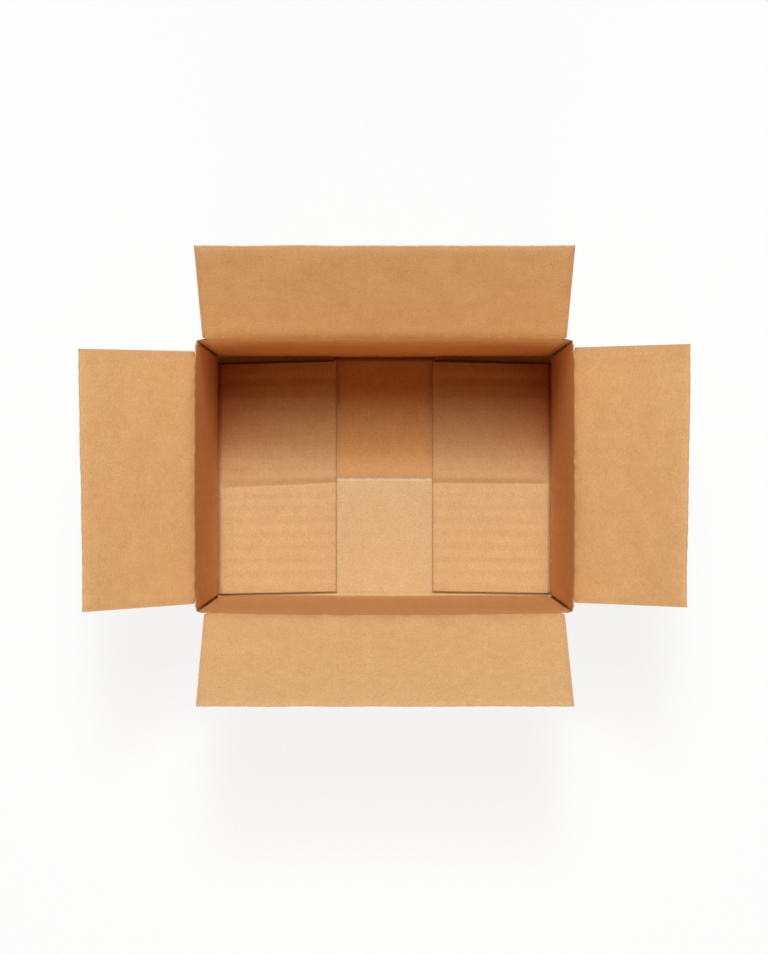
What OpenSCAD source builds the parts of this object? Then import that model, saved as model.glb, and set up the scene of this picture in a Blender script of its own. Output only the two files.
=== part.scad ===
// Open slotted shipping carton of single-wall corrugated board, with four hinged top flaps.
// Millimetres, +Z up, +X along the length. The origin is the middle of the underside.
// Front is -Y, rear is +Y, left is -X and right is +X.

/* [Carton] */
// Inside length, between the end walls
inner_l = 200; // [180:1:320]
// Inside width, between the front and rear walls
inner_w = 144; // [100:1:170]
// Outside height with every flap closed
outer_h = 187; // [120:1:300]

/* [Board] */
// Thickness of the corrugated board
board_t = 4; // [3:0.1:5]
// Length of one flute, crest to crest
flute_pitch = 7.8; // [6:0.1:10]
// Thickness of each flat liner
liner_t = 0.4; // [0.3:0.05:0.6]
// Thickness of the fluted medium
medium_t = 0.3; // [0.2:0.05:0.5]
// Width of the glue line where a flute crest meets a liner
glue_w = 1.2; // [0.8:0.1:2]

/* [Flaps] */
// Width of the slot between two neighbouring flaps
slot_w = 12; // [9:0.5:18]
// How far a slot runs past the fold
slot_over = 1; // [0.5:0.1:3]
// Gap between the meeting edges of the closed outer flaps
seam_gap = 1.2; // [0.6:0.1:4]
// Gap between a flap and the flap folded over it
layer_gap = 0.3; // [0.2:0.05:0.6]
// Lean of the front and rear flaps out from upright, in degrees
major_lean_deg = 34; // [10:1:80]
// Lean of the left and right flaps out from upright, in degrees
minor_lean_deg = 43.5; // [10:0.5:80]

/* [Folds] */
// Depth of a top fold's turning line below the outer face
fold_depth = 0.6; // [0.5:0.05:1]
// Radius of the rolled bead that runs along a top fold
bead_r = 0.45; // [0.3:0.05:0.5]
// Running gap between a flap's root and its wall
fold_gap = 0.3; // [0.2:0.05:0.4]
// Slope of the outer relief at a top fold, in degrees from level
relief_slope = 82.5; // [75:0.5:83.5]
// Length of crushed board at a flap's root, where the flutes are pressed shut
crush_l = 9; // [7:0.5:14]
// Inside radius of the four upright corner folds
corner_in_r = 1.5; // [0.5:0.1:3]

/* [Glue lap] */
// Width of the lap that joins the two ends of the blank
lap_w = 32; // [20:1:40]
// Thickness of the pressed lap
lap_t = 2.4; // [1:0.1:3]
// Distance from the end wall's folds to the lap's ends
lap_inset = 10; // [9:0.5:25]
// Slope of the lap's trimmed ends, in degrees
lap_slope = 15; // [5:1:30]

/* [Tape] */
// Width of the sealing tape along the bottom seam
tape_w = 48; // [36:1:60]
// Thickness of the tape
tape_t = 0.1; // [0.05:0.01:0.2]
// Height that the tape's ends reach up the end walls
tape_tail = 55; // [25:1:80]

/* [Hidden] */
$fn = 64;

// Turns that bring a side's outward direction from +X to its wall
right_turn = 0;
rear_turn = 90;
left_turn = 180;
front_turn = 270;

// Outside plan of the walls, and the widths of the flaps between their slots
outer_l = inner_l + 2 * board_t;
outer_w = inner_w + 2 * board_t;
major_w = inner_l + board_t - slot_w;
minor_w = inner_w + board_t - slot_w;

// Top folds: the part of the board inside the turning line, and the relief outside it
fold_in = board_t - fold_depth;
relief_h = fold_depth * tan(relief_slope);
fold_drop = max(relief_h, fold_in) + slot_over;
root_clear = fold_gap * sqrt(2);
major_axis_u = outer_w / 2 - fold_depth;
minor_axis_u = outer_l / 2 - fold_depth;
major_axis_z = outer_h - fold_depth;
minor_axis_z = major_axis_z - board_t - layer_gap;
slot_end_z = minor_axis_z - fold_drop;

// All eight flaps have one length, so that the outer pairs meet in the middle
flap_l = major_axis_u - seam_gap / 2;

// Bottom flaps: the outer pair lies on the tape and the inner pair on the outer one
major_floor_z = tape_t;
minor_floor_z = major_floor_z + board_t + layer_gap;
corner_foot_z = major_floor_z + board_t;
end_foot_z = minor_floor_z + board_t;
minor_tip_u = minor_axis_u - flap_l;

// Fluted medium: height of its wave and the number of straight pieces in one arch
wave_h = (board_t - 2 * liner_t - medium_t) / 2;
arch_steps = 6;

// Chamfer that the tape takes across the open slots at the carton's ends
tape_chamfer = 1.5 * board_t;
tape_mitre = tape_t * (sqrt(2) - 1);

// Overlap that fuses touching pieces of one sheet
fuse = 0.5;

kraft = [0.80, 0.60, 0.38];
tape_tan = [0.86, 0.79, 0.68];

// Rectangle in plan with round corners
module rounded_plan(l, w, r) {
    square([l - 2 * r, w], center = true);
    square([l, w - 2 * r], center = true);
    for (sx = [-1, 1], sy = [-1, 1])
        translate([sx * (l / 2 - r), sy * (w / 2 - r)])
            circle(r);
}

// Turns a section drawn outward and upward into a length of board along the fold
module along_fold(length) {
    rotate([90, 0, 0])
        linear_extrude(length, center = true)
            children();
}

// Quarter-round fold at the foot of a wall, the flap that it carries inward and a bit of the wall
module foot_section(wall_u, under_z, tip_u) {
    fold_u = wall_u - board_t;
    intersection() {
        translate([fold_u, under_z + board_t])
            circle(board_t);
        translate([fold_u, under_z])
            square(board_t);
    }
    translate([tip_u, under_z])
        square([fold_u - tip_u, board_t]);
    translate([fold_u, under_z + board_t])
        square([board_t, fuse]);
}

// Ridge along the top of a wall, mitred inside and relieved outside the turning line
module head_section(head_h) {
    polygon([
        [-fold_in, -head_h - fuse],
        [fold_depth, -head_h - fuse],
        [fold_depth, -relief_h],
        [0, 0],
        [-fold_in, -fold_in]
    ]);
    circle(bead_r);
}

// Crushed root of an upright flap, cut clear of the wall's bead
module root_section() {
    difference() {
        polygon([
            [0, root_clear],
            [fold_depth, root_clear + relief_h],
            [fold_depth, crush_l],
            [-fold_in, crush_l],
            [-fold_in, root_clear + fold_in]
        ]);
        circle(bead_r + fold_gap);
    }
}

// One hollow of the medium, from the liner's inner face down to the wave
module flute_hollow() {
    first = glue_w / 2;
    step = (flute_pitch - glue_w) / arch_steps;
    liner_x = wave_h + medium_t / 2;
    wave = [
        for (i = [0:arch_steps])
            let (y = first + i * step)
                [wave_h * cos(360 * y / flute_pitch) + medium_t / 2, y]
    ];
    polygon(concat(wave, [[liner_x, flute_pitch - first], [liner_x, first]]));
}

// Cross-section of the board: two liners and the medium between them
module board_section(width) {
    flutes = floor((width - flute_pitch) / flute_pitch);
    start = -flutes * flute_pitch / 2;
    translate([fold_depth - board_t / 2, 0])
        difference() {
            square([board_t, width], center = true);
            for (i = [0:flutes - 1])
                translate([0, start + i * flute_pitch])
                    flute_hollow();
            for (i = [0:flutes])
                translate([0, start + (i - 0.5) * flute_pitch])
                    mirror([1, 0])
                        flute_hollow();
        }
}

// Top flap on its turning line: a crushed root and a fluted blade, leaning outward
module top_flap(turn, axis_u, axis_z, width, lean) {
    rotate([0, 0, turn])
        translate([axis_u, 0, axis_z])
            rotate([0, lean, 0]) {
                along_fold(width)
                    root_section();
                translate([0, 0, crush_l])
                    linear_extrude(flap_l - crush_l)
                        board_section(width);
            }
}

// Four walls between the slots, open below the end walls where their flaps fold in
module wall_tube() {
    end_fold_h = end_foot_z - corner_foot_z;
    difference() {
        translate([0, 0, corner_foot_z])
            linear_extrude(slot_end_z - corner_foot_z)
                difference() {
                    rounded_plan(outer_l, outer_w, board_t);
                    rounded_plan(inner_l, inner_w, corner_in_r);
                }
        translate([-outer_l / 2 - fuse, -minor_w / 2, corner_foot_z - fuse])
            cube([outer_l + 2 * fuse, minor_w, end_fold_h + fuse]);
    }
}

// Bottom fold and flap, and top ridge, of one wall
module wall_folds(turn, wall_u, width, foot_z, tip_u, axis_z) {
    rotate([0, 0, turn])
        along_fold(width) {
            foot_section(wall_u, foot_z, tip_u);
            translate([wall_u - fold_depth, axis_z])
                head_section(axis_z - slot_end_z);
        }
}

// Lap of the rear wall, turned round the corner and glued on the left end wall
module glue_lap() {
    lap_u = outer_l / 2 + lap_t;
    low_z = end_foot_z + lap_inset;
    high_z = minor_axis_z - lap_inset;
    trim = lap_w * tan(lap_slope);
    intersection() {
        linear_extrude(outer_h)
            union() {
                translate([-lap_u, outer_w / 2 - lap_w])
                    square([lap_t + fuse, lap_w - board_t]);
                translate([-lap_u + board_t, outer_w / 2 - board_t])
                    circle(board_t);
            }
        rotate([90, 0, 90])
            linear_extrude(2 * lap_u, center = true)
                polygon([
                    [outer_w / 2, low_z],
                    [outer_w / 2, high_z],
                    [outer_w / 2 - lap_w, high_z - trim],
                    [outer_w / 2 - lap_w, low_z + trim]
                ]);
    }
}

// One folded sheet: walls, bottom flaps, top ridges and the glued lap
module carton() {
    color(kraft) {
        wall_tube();
        for (turn = [front_turn, rear_turn])
            wall_folds(turn, outer_w / 2, major_w, major_floor_z, seam_gap / 2, major_axis_z);
        for (turn = [left_turn, right_turn])
            wall_folds(turn, outer_l / 2, minor_w, minor_floor_z, minor_tip_u, minor_axis_z);
        glue_lap();
    }
}

module front_flap() {
    color(kraft)
        top_flap(front_turn, major_axis_u, major_axis_z, major_w, major_lean_deg);
}

module rear_flap() {
    color(kraft)
        top_flap(rear_turn, major_axis_u, major_axis_z, major_w, major_lean_deg);
}

module left_flap() {
    color(kraft)
        top_flap(left_turn, minor_axis_u, minor_axis_z, minor_w, minor_lean_deg);
}

module right_flap() {
    color(kraft)
        top_flap(right_turn, minor_axis_u, minor_axis_z, minor_w, minor_lean_deg);
}

// The tape's run: along the seam, across the end slots and up the end walls
module tape_section() {
    end_u = outer_l / 2;
    turn_u = end_u + tape_t - tape_chamfer;
    right_end = [
        [turn_u, 0],
        [end_u + tape_t, tape_chamfer],
        [end_u + tape_t, tape_tail],
        [end_u, tape_tail],
        [end_u, tape_chamfer + tape_mitre],
        [turn_u - tape_mitre, tape_t]
    ];
    last = len(right_end) - 1;
    left_end = [for (i = [last:-1:0]) [-right_end[i].x, right_end[i].y]];
    polygon(concat(right_end, left_end));
}

module bottom_tape() {
    color(tape_tan)
        along_fold(tape_w)
            tape_section();
}

carton();
front_flap();
rear_flap();
left_flap();
right_flap();
bottom_tape();
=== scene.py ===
"""Dresses the open slotted carton: fluted kraft board, pressed creases and clear sealing tape."""

import logging
import math
from dataclasses import dataclass, field, fields
from enum import Enum
from typing import Any, Union

import bpy
import numpy as np
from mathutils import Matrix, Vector

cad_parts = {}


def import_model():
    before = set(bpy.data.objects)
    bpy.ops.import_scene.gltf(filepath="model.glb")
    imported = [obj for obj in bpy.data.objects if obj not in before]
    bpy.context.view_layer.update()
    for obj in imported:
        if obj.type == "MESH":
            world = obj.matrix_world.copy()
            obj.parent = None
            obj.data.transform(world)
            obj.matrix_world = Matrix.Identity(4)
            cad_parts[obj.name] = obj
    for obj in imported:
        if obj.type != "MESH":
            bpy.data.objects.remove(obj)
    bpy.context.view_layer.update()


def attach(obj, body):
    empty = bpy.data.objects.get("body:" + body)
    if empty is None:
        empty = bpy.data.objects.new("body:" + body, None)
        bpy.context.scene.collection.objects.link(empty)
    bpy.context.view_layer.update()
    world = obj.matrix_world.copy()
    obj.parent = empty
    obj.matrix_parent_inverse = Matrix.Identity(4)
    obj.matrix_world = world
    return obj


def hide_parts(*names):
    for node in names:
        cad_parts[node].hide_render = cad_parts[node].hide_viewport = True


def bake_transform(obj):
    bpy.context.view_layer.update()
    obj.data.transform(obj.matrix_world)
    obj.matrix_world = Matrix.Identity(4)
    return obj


LOG = logging.getLogger("carton")
MM = 0.001
WALL_BODY = "carton"
FLAT_MAP = "board"
SHARP_DEG = 42.0
HAIR = 0.02
NOISE_MIDDLE = 0.5
BACK_SHIFT = 150.0
MEDIUM_SHIFT = 300.0
MEDIUM_SKIP = 4

# In the classes, an EASE or RISE is a start and a run, and a DENT is a depth and a length.
Colour = tuple[float, float, float]
Factors = tuple[float, float, float]


class Side(Enum):
    """A side of the carton, valued by the turn in degrees from +X to its outward direction."""

    RIGHT = 0
    REAR = 90
    LEFT = 180
    FRONT = 270

    @property
    def flap(self) -> str:
        """Name of the top flap's node and body on this side."""
        return f"{self.name.lower()}_flap"

    def place(self, points: np.ndarray) -> np.ndarray:
        """Turns points into the carton's own axes.

        Args:
            points: Places given as outward, along and up.

        Returns:
            The same places as X, Y and Z.
        """
        turn = math.radians(self.value)
        c, s = round(math.cos(turn)), round(math.sin(turn))
        u, w, z = np.moveaxis(points, -1, 0)
        return np.stack([c * u - s * w, s * u + c * w, z], axis=-1)


class Unevenness:
    """Smooth seeded unevenness in the range of about -1 to 1, made of random waves.

    Attributes:
        RATES: Lowest and highest rate of a wave, as shares of the typical rate.
    """

    RATES = (0.5, 1.7)

    def __init__(self, seed: int, wavelength: float, waves: int = 14) -> None:
        """Draws the waves.

        Args:
            seed: Seed of the random waves.
            wavelength: Typical length of a wave, in mm.
            waves: Number of waves that are summed.
        """
        rng = np.random.default_rng(seed)
        angle = rng.uniform(0, 2 * math.pi, waves)
        rate = 2 * math.pi / wavelength * rng.uniform(*self.RATES, waves)
        self.kx, self.ky = rate * np.cos(angle), rate * np.sin(angle)
        self.shift = rng.uniform(0, 2 * math.pi, waves)

    def at(self, x: Any, y: Any) -> np.ndarray:
        """Value at one or many places.

        Args:
            x: Places along the first direction, in mm.
            y: Places along the second direction, in mm.

        Returns:
            The unevenness, broadcast over both.
        """
        x, y = np.broadcast_arrays(np.asarray(x, float), np.asarray(y, float))
        waves = np.sin(x[..., None] * self.kx + y[..., None] * self.ky + self.shift)
        return waves.sum(axis=-1) * math.sqrt(2 / len(self.shift)) / 2


def smooth_step(value: np.ndarray) -> np.ndarray:
    """Eases a value from 0 to 1."""
    held = np.clip(value, 0.0, 1.0)
    return held * held * (3 - 2 * held)


def rise(value: np.ndarray, start: float, run: float) -> np.ndarray:
    """Eases from 0 at a start to 1 after a run."""
    return smooth_step((value - start) / run)


def bell(distance: np.ndarray, reach: float) -> np.ndarray:
    """Falls from 1 at no distance to almost nothing at twice the reach."""
    return np.exp(-((distance / reach) ** 2))


def paired(first: np.ndarray, second: np.ndarray) -> np.ndarray:
    """Pairs two arrays, broadcast to one shape, into places."""
    return np.stack(np.broadcast_arrays(first, second), axis=-1)


def travelled(path: np.ndarray) -> np.ndarray:
    """Distance along a run of points, zero at the first."""
    steps = np.linalg.norm(np.diff(path, axis=0), axis=-1)
    return np.concatenate([[0.0], np.cumsum(steps)])


def medium_rows(run: np.ndarray, start: float, last: int) -> np.ndarray:
    """Numbers of the rows past a start that the medium needs, with all of the last ones."""
    keep = np.flatnonzero(run > start)
    return np.unique(np.concatenate([keep[::MEDIUM_SKIP], keep[-last:]]))


def arc(
    centre: tuple[float, float], radius: float, start: float, end: float, steps: int
) -> np.ndarray:
    """Points on an arc in a section.

    Args:
        centre: Middle of the arc, as outward and up in mm.
        radius: Radius in mm.
        start: First angle in degrees.
        end: Last angle in degrees.
        steps: Number of straight pieces.

    Returns:
        The points, one row each.
    """
    angle = np.radians(np.linspace(start, end, steps + 1))
    return paired(centre[0] + radius * np.cos(angle), centre[1] + radius * np.sin(angle))


def inward_normals(path: np.ndarray) -> np.ndarray:
    """Unit normals to the left of a run of points.

    Args:
        path: The points, in a section.

    Returns:
        One normal for each point.
    """
    along = np.gradient(path, axis=0)
    along /= np.linalg.norm(along, axis=-1, keepdims=True)
    return np.stack([-along[:, 1], along[:, 0]], axis=-1)


@dataclass(frozen=True)
class Fade:
    """What is fullest at one place and fades away from it.

    Attributes:
        most: Value at the place itself.
        reach: How far it reaches, in mm.
    """

    most: float
    reach: float

    def at(self, distance: np.ndarray) -> np.ndarray:
        """Value at each distance from the place."""
        return self.most * bell(distance, self.reach)


@dataclass(frozen=True)
class RowPlan:
    """Mesh rows that crowd at both ends of a height.

    Attributes:
        close: First rows, as shares of the height.
        start: Share at which the even rows start.
        even: Number of even rows.
    """

    close: tuple[float, ...]
    start: float
    even: int

    def shares(self) -> np.ndarray:
        """Places of all the rows.

        Returns:
            Their shares of the height, in order.
        """
        low = np.array(self.close)
        even = np.linspace(self.start, 1 - self.start, self.even)
        return np.concatenate([low, even, 1 - low[::-1]])


@dataclass(frozen=True)
class BoardGrade:
    """Single-wall corrugated board.

    Attributes:
        thickness: Thickness of the board, in mm.
        pitch: Length of one flute, in mm.
        liner: Thickness of a liner, in mm.
        medium: Thickness of the fluted medium, in mm.
        washboard: Depth that a liner sinks between two flute crests, in mm.
        per_flute: Mesh columns in one flute.
        side_gap: Least distance from a side to the next column, as a share of a column's step.
    """

    thickness: float = 4.0
    pitch: float = 7.8
    liner: float = 0.4
    medium: float = 0.3
    washboard: float = 0.14
    per_flute: int = 8
    side_gap: float = 0.25

    def columns(self, width: float) -> np.ndarray:
        """Places of the mesh columns across a panel.

        Args:
            width: Width of the panel.

        Returns:
            The places from the panel's middle, in order.
        """
        step = self.pitch / self.per_flute
        count = int((width / 2 - self.side_gap * step) / step)
        inner = np.arange(-count, count + 1) * step
        return np.concatenate([[-width / 2], inner, [width / 2]])

    def wave(self, along: np.ndarray) -> np.ndarray:
        """Flute wave from -1 at the outer liner to 1 at the inner liner."""
        return np.cos(2 * math.pi * along / self.pitch)

    def inner_sink(self, along: np.ndarray) -> np.ndarray:
        """Depth that the inner liner sinks between crests."""
        return self.washboard * (1 - self.wave(along)) / 2

    def outer_sink(self, along: np.ndarray) -> np.ndarray:
        """Depth that the outer liner sinks between crests."""
        return self.washboard * (1 + self.wave(along)) / 2

    @property
    def wave_height(self) -> float:
        """Half the height of the medium's wave."""
        return (self.thickness - 2 * self.liner - self.medium) / 2


@dataclass(frozen=True)
class CartonSizes:
    """Sizes of the folded carton, in mm, the same as the solids have.

    Attributes:
        half_l: Half the inside length.
        half_w: Half the inside width.
        major_w: Width of the front and rear flaps.
        minor_w: Width of the left and right flaps.
        major_axis: Outward place and height of the front and rear turning lines.
        minor_axis: Outward place and height of the left and right turning lines.
        flap_l: Length of a flap from its turning line.
        slot_end: Height at which the top slots end.
        major_floor: Underside of the outer bottom flaps.
        minor_floor: Underside of the inner bottom flaps.
        minor_tip: Distance from the middle to the tips of the inner bottom flaps.
        bow: How far the long walls bow outward in the middle.
        end_bow: How far the end walls bow outward in the middle.
        crush: How far the corners are crushed under the slots.
        crush_rise: Height at which that starts, and the height over which it grows.
    """

    half_l: float = 100.0
    half_w: float = 72.0
    major_w: float = 192.0
    minor_w: float = 136.0
    major_axis: tuple[float, float] = (75.4, 186.4)
    minor_axis: tuple[float, float] = (103.4, 182.1)
    flap_l: float = 74.8
    slot_end: float = 176.54
    major_floor: float = 0.1
    minor_floor: float = 4.4
    minor_tip: float = 28.6
    bow: float = 1.2
    end_bow: float = 0.3
    crush: float = 3.3
    crush_rise: tuple[float, float] = (100.0, 58.0)

    def is_long(self, side: Side) -> bool:
        """True for the front and rear sides."""
        return side in (Side.FRONT, Side.REAR)

    def half_depth(self, side: Side) -> float:
        """Distance from the middle to a side's inner face."""
        return self.half_w if self.is_long(side) else self.half_l

    def half_span(self, side: Side) -> float:
        """Half the inside length of a side's wall."""
        return self.half_l if self.is_long(side) else self.half_w

    def flap_w(self, side: Side) -> float:
        """Width of a side's flaps."""
        return self.major_w if self.is_long(side) else self.minor_w

    def axis(self, side: Side) -> tuple[float, float]:
        """Outward place and height of a side's top turning line."""
        return self.major_axis if self.is_long(side) else self.minor_axis

    def floor(self, side: Side) -> float:
        """Underside of a side's bottom flap."""
        return self.major_floor if self.is_long(side) else self.minor_floor

    def wall_bow(self, side: Side, along: Any, height: Any) -> np.ndarray:
        """How far a wall stands outward of its flat plane.

        Args:
            side: Side of the carton.
            along: Places along the wall.
            height: Heights on the wall.

        Returns:
            The bow at each place.
        """
        span = self.half_span(side)
        share = np.clip(1 - (np.asarray(along) / span) ** 2, 0, 1)
        lift = smooth_step(np.asarray(height) / self.slot_end)
        return (self.bow if self.is_long(side) else self.end_bow) * share * lift


@dataclass(frozen=True)
class Paper:
    """State of the paper at each vertex, which its finish shows.

    Attributes:
        medium: Share of fluted medium.
        crease: Share of crease wear, which on the top flaps' ridges also paints a highlight.
        score: Share of dark paper: pressed scores, and painted shade in folds, at edges and to the
            rear.
        corner_warm_shade: Share of warm darker paper that is painted shade in the inside's rear
            corners.
    """

    medium: Any = 0.0
    crease: Any = 0.0
    score: Any = 0.0
    corner_warm_shade: Any = 0.0

    def shares(self) -> dict[str, np.ndarray]:
        """The four shares by their names."""
        return {item.name: np.asarray(getattr(self, item.name), float) for item in fields(self)}

    def on_both_faces(self, grid: tuple[int, int]) -> "Paper":
        """The shares of a grid of rows and columns, for the two faces of a sheet."""
        flat = {k: np.broadcast_to(v, grid).reshape(-1) for k, v in self.shares().items()}
        return Paper(**{k: np.tile(v, 2) for k, v in flat.items()})


@dataclass
class BoardMesh:
    """Collects thin closed sheets of paper into one mesh.

    Attributes:
        name: Name of the piece.
        points: Vertices of each sheet, in mm.
        faces: Vertex numbers of each sheet's faces.
        places: Place of each vertex on the flat sheet, in mm.
        papers: Shares of the paper's state on each sheet.
        count: Number of vertices so far.
    """

    name: str
    points: list[np.ndarray] = field(default_factory=list)
    faces: list[np.ndarray] = field(default_factory=list)
    places: list[np.ndarray] = field(default_factory=list)
    papers: list[dict[str, np.ndarray]] = field(default_factory=list)
    count: int = 0

    def add(
        self, points: np.ndarray, faces: np.ndarray, place: np.ndarray, paper: Paper = Paper()
    ) -> None:
        """Adds vertices and four-sided faces.

        Args:
            points: Vertices in mm, one row each.
            faces: Four vertex numbers in each row.
            place: Place of each vertex on the flat sheet, in mm.
            paper: State of the paper at each vertex.
        """
        self.points.append(points.reshape(-1, 3))
        self.faces.append(faces + self.count)
        self.places.append(place.reshape(-1, 2))
        total = len(self.points[-1])
        shares = paper.shares().items()
        self.papers.append({k: np.broadcast_to(v.reshape(-1), total) for k, v in shares})
        self.count += total

    def sheet(
        self, front: np.ndarray, back: np.ndarray, place: np.ndarray, paper: Paper = Paper()
    ) -> None:
        """Adds a thin closed sheet between two grids of points.

        Args:
            front: Rows and columns of points on the shown face.
            back: The same rows and columns on the other face.
            place: Place of each point on the flat sheet, in mm.
            paper: State of the paper at each point of the grid.
        """
        rows, cols = front.shape[:2]
        gap = rows * cols
        grid = np.arange(gap).reshape(rows, cols)
        corners = [grid[:-1, :-1], grid[:-1, 1:], grid[1:, 1:], grid[1:, :-1]]
        quad = np.stack(corners, axis=-1).reshape(-1, 4)
        rim = np.concatenate([grid[0, :-1], grid[:-1, -1], grid[-1, :0:-1], grid[:0:-1, 0]])
        ahead = np.roll(rim, -1)
        sides = np.stack([ahead, rim, rim + gap, ahead + gap], axis=-1)
        faces = np.concatenate([quad, quad[:, ::-1] + gap, sides])
        row, col = rows // 2, cols // 2
        across = front[row, col - 1] - front[row, col]
        down = front[row - 1, col] - front[row, col]
        if np.dot(np.cross(across, down), front[row, col] - back[row, col]) < 0:
            faces = faces[:, ::-1]
        both = np.concatenate([front.reshape(-1, 3), back.reshape(-1, 3)])
        places = np.tile(place.reshape(-1, 2), (2, 1))
        self.add(both, faces, places, paper.on_both_faces((rows, cols)))

    def build(self, material: bpy.types.Material) -> bpy.types.Object:
        """Makes the object.

        Args:
            material: Finish of the piece.

        Returns:
            The new object, linked to the scene.
        """
        points = np.concatenate(self.points) * MM
        faces = np.concatenate(self.faces)
        mesh = bpy.data.meshes.new(self.name)
        mesh.from_pydata(points.tolist(), [], faces.tolist())
        layer = mesh.uv_layers.new(name=FLAT_MAP)
        corner = np.empty(len(mesh.loops), dtype=np.int32)
        mesh.loops.foreach_get("vertex_index", corner)
        places = (np.concatenate(self.places) * MM)[corner]
        layer.data.foreach_set("uv", places.ravel().astype(np.float32))
        for label in self.papers[0]:
            made = mesh.attributes.new(label, "FLOAT", "POINT")
            shares = np.concatenate([paper[label] for paper in self.papers])
            made.data.foreach_set("value", shares.astype(np.float32))
        mesh.polygons.foreach_set("use_smooth", np.ones(len(mesh.polygons), dtype=bool))
        mesh.set_sharp_from_angle(angle=math.radians(SHARP_DEG))
        mesh.materials.append(material)
        piece = bpy.data.objects.new(self.name, mesh)
        bpy.context.scene.collection.objects.link(piece)
        LOG.info("%s: %d faces", self.name, len(mesh.polygons))
        return piece


class Flow:
    """A node's socket that can be used in arithmetic; each operation adds a Math node."""

    def __init__(self, graph: "NodeGraph", socket: bpy.types.NodeSocket) -> None:
        """Wraps an output socket of a graph."""
        self.graph = graph
        self.socket = socket

    def _math(self, operation: str, first: "Value", second: "Value") -> "Flow":
        """Adds a Math node for an operation on two numbers or sockets."""
        inputs = {"Value": first, "Value_001": second}
        return self.graph.add("ShaderNodeMath", {"operation": operation}, inputs)["Value"]

    def __add__(self, other: "Value") -> "Flow":
        """Sum."""
        return self._math("ADD", self, other)

    def __radd__(self, other: "Value") -> "Flow":
        """Sum with a number in front."""
        return self._math("ADD", other, self)

    def __sub__(self, other: "Value") -> "Flow":
        """Difference."""
        return self._math("SUBTRACT", self, other)

    def __rsub__(self, other: "Value") -> "Flow":
        """Difference from a number."""
        return self._math("SUBTRACT", other, self)

    def __mul__(self, other: "Value") -> "Flow":
        """Product."""
        return self._math("MULTIPLY", self, other)

    def __rmul__(self, other: "Value") -> "Flow":
        """Product with a number in front."""
        return self._math("MULTIPLY", other, self)

    def __gt__(self, other: "Value") -> "Flow":
        """One where this is greater, and otherwise zero."""
        return self._math("GREATER_THAN", self, other)

    def __lt__(self, other: "Value") -> "Flow":
        """One where this is less, and otherwise zero."""
        return self._math("LESS_THAN", self, other)

    def between(self, low: float, high: float) -> "Flow":
        """Eases from 0 to 1.

        Args:
            low: Value at which it is 0.
            high: Value at which it is 1.

        Returns:
            The eased socket.
        """
        settings = {"interpolation_type": "SMOOTHSTEP"}
        inputs = {"Value": self, "From Min": low, "From Max": high}
        return self.graph.add("ShaderNodeMapRange", settings, inputs)["Result"]


Value = Union[float, Flow]


class MadeNode:
    """A node whose outputs are fetched by name."""

    def __init__(self, graph: "NodeGraph", node: bpy.types.Node) -> None:
        """Wraps a node of a graph."""
        self.graph = graph
        self.node = node

    def __getitem__(self, name: str) -> Flow:
        """Output by its identifier or its name."""
        return Flow(self.graph, NodeGraph.find(self.node.outputs, name))


@dataclass(frozen=True)
class NoiseLayer:
    """One layer of noise on the flat sheet.

    Attributes:
        scale: Cells in one metre.
        detail: Layers of finer noise.
        roughness: Strength of the finer layers.
        stretch: Cells in one metre along and across, where the noise is stretched.
        tint: Weight of the layer in the paper's tint.
        relief: Weight of the layer in the paper's relief.
    """

    scale: float
    detail: float
    roughness: float = 0.5
    stretch: Factors | None = None
    tint: float = 0.0
    relief: float = 0.0


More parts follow.
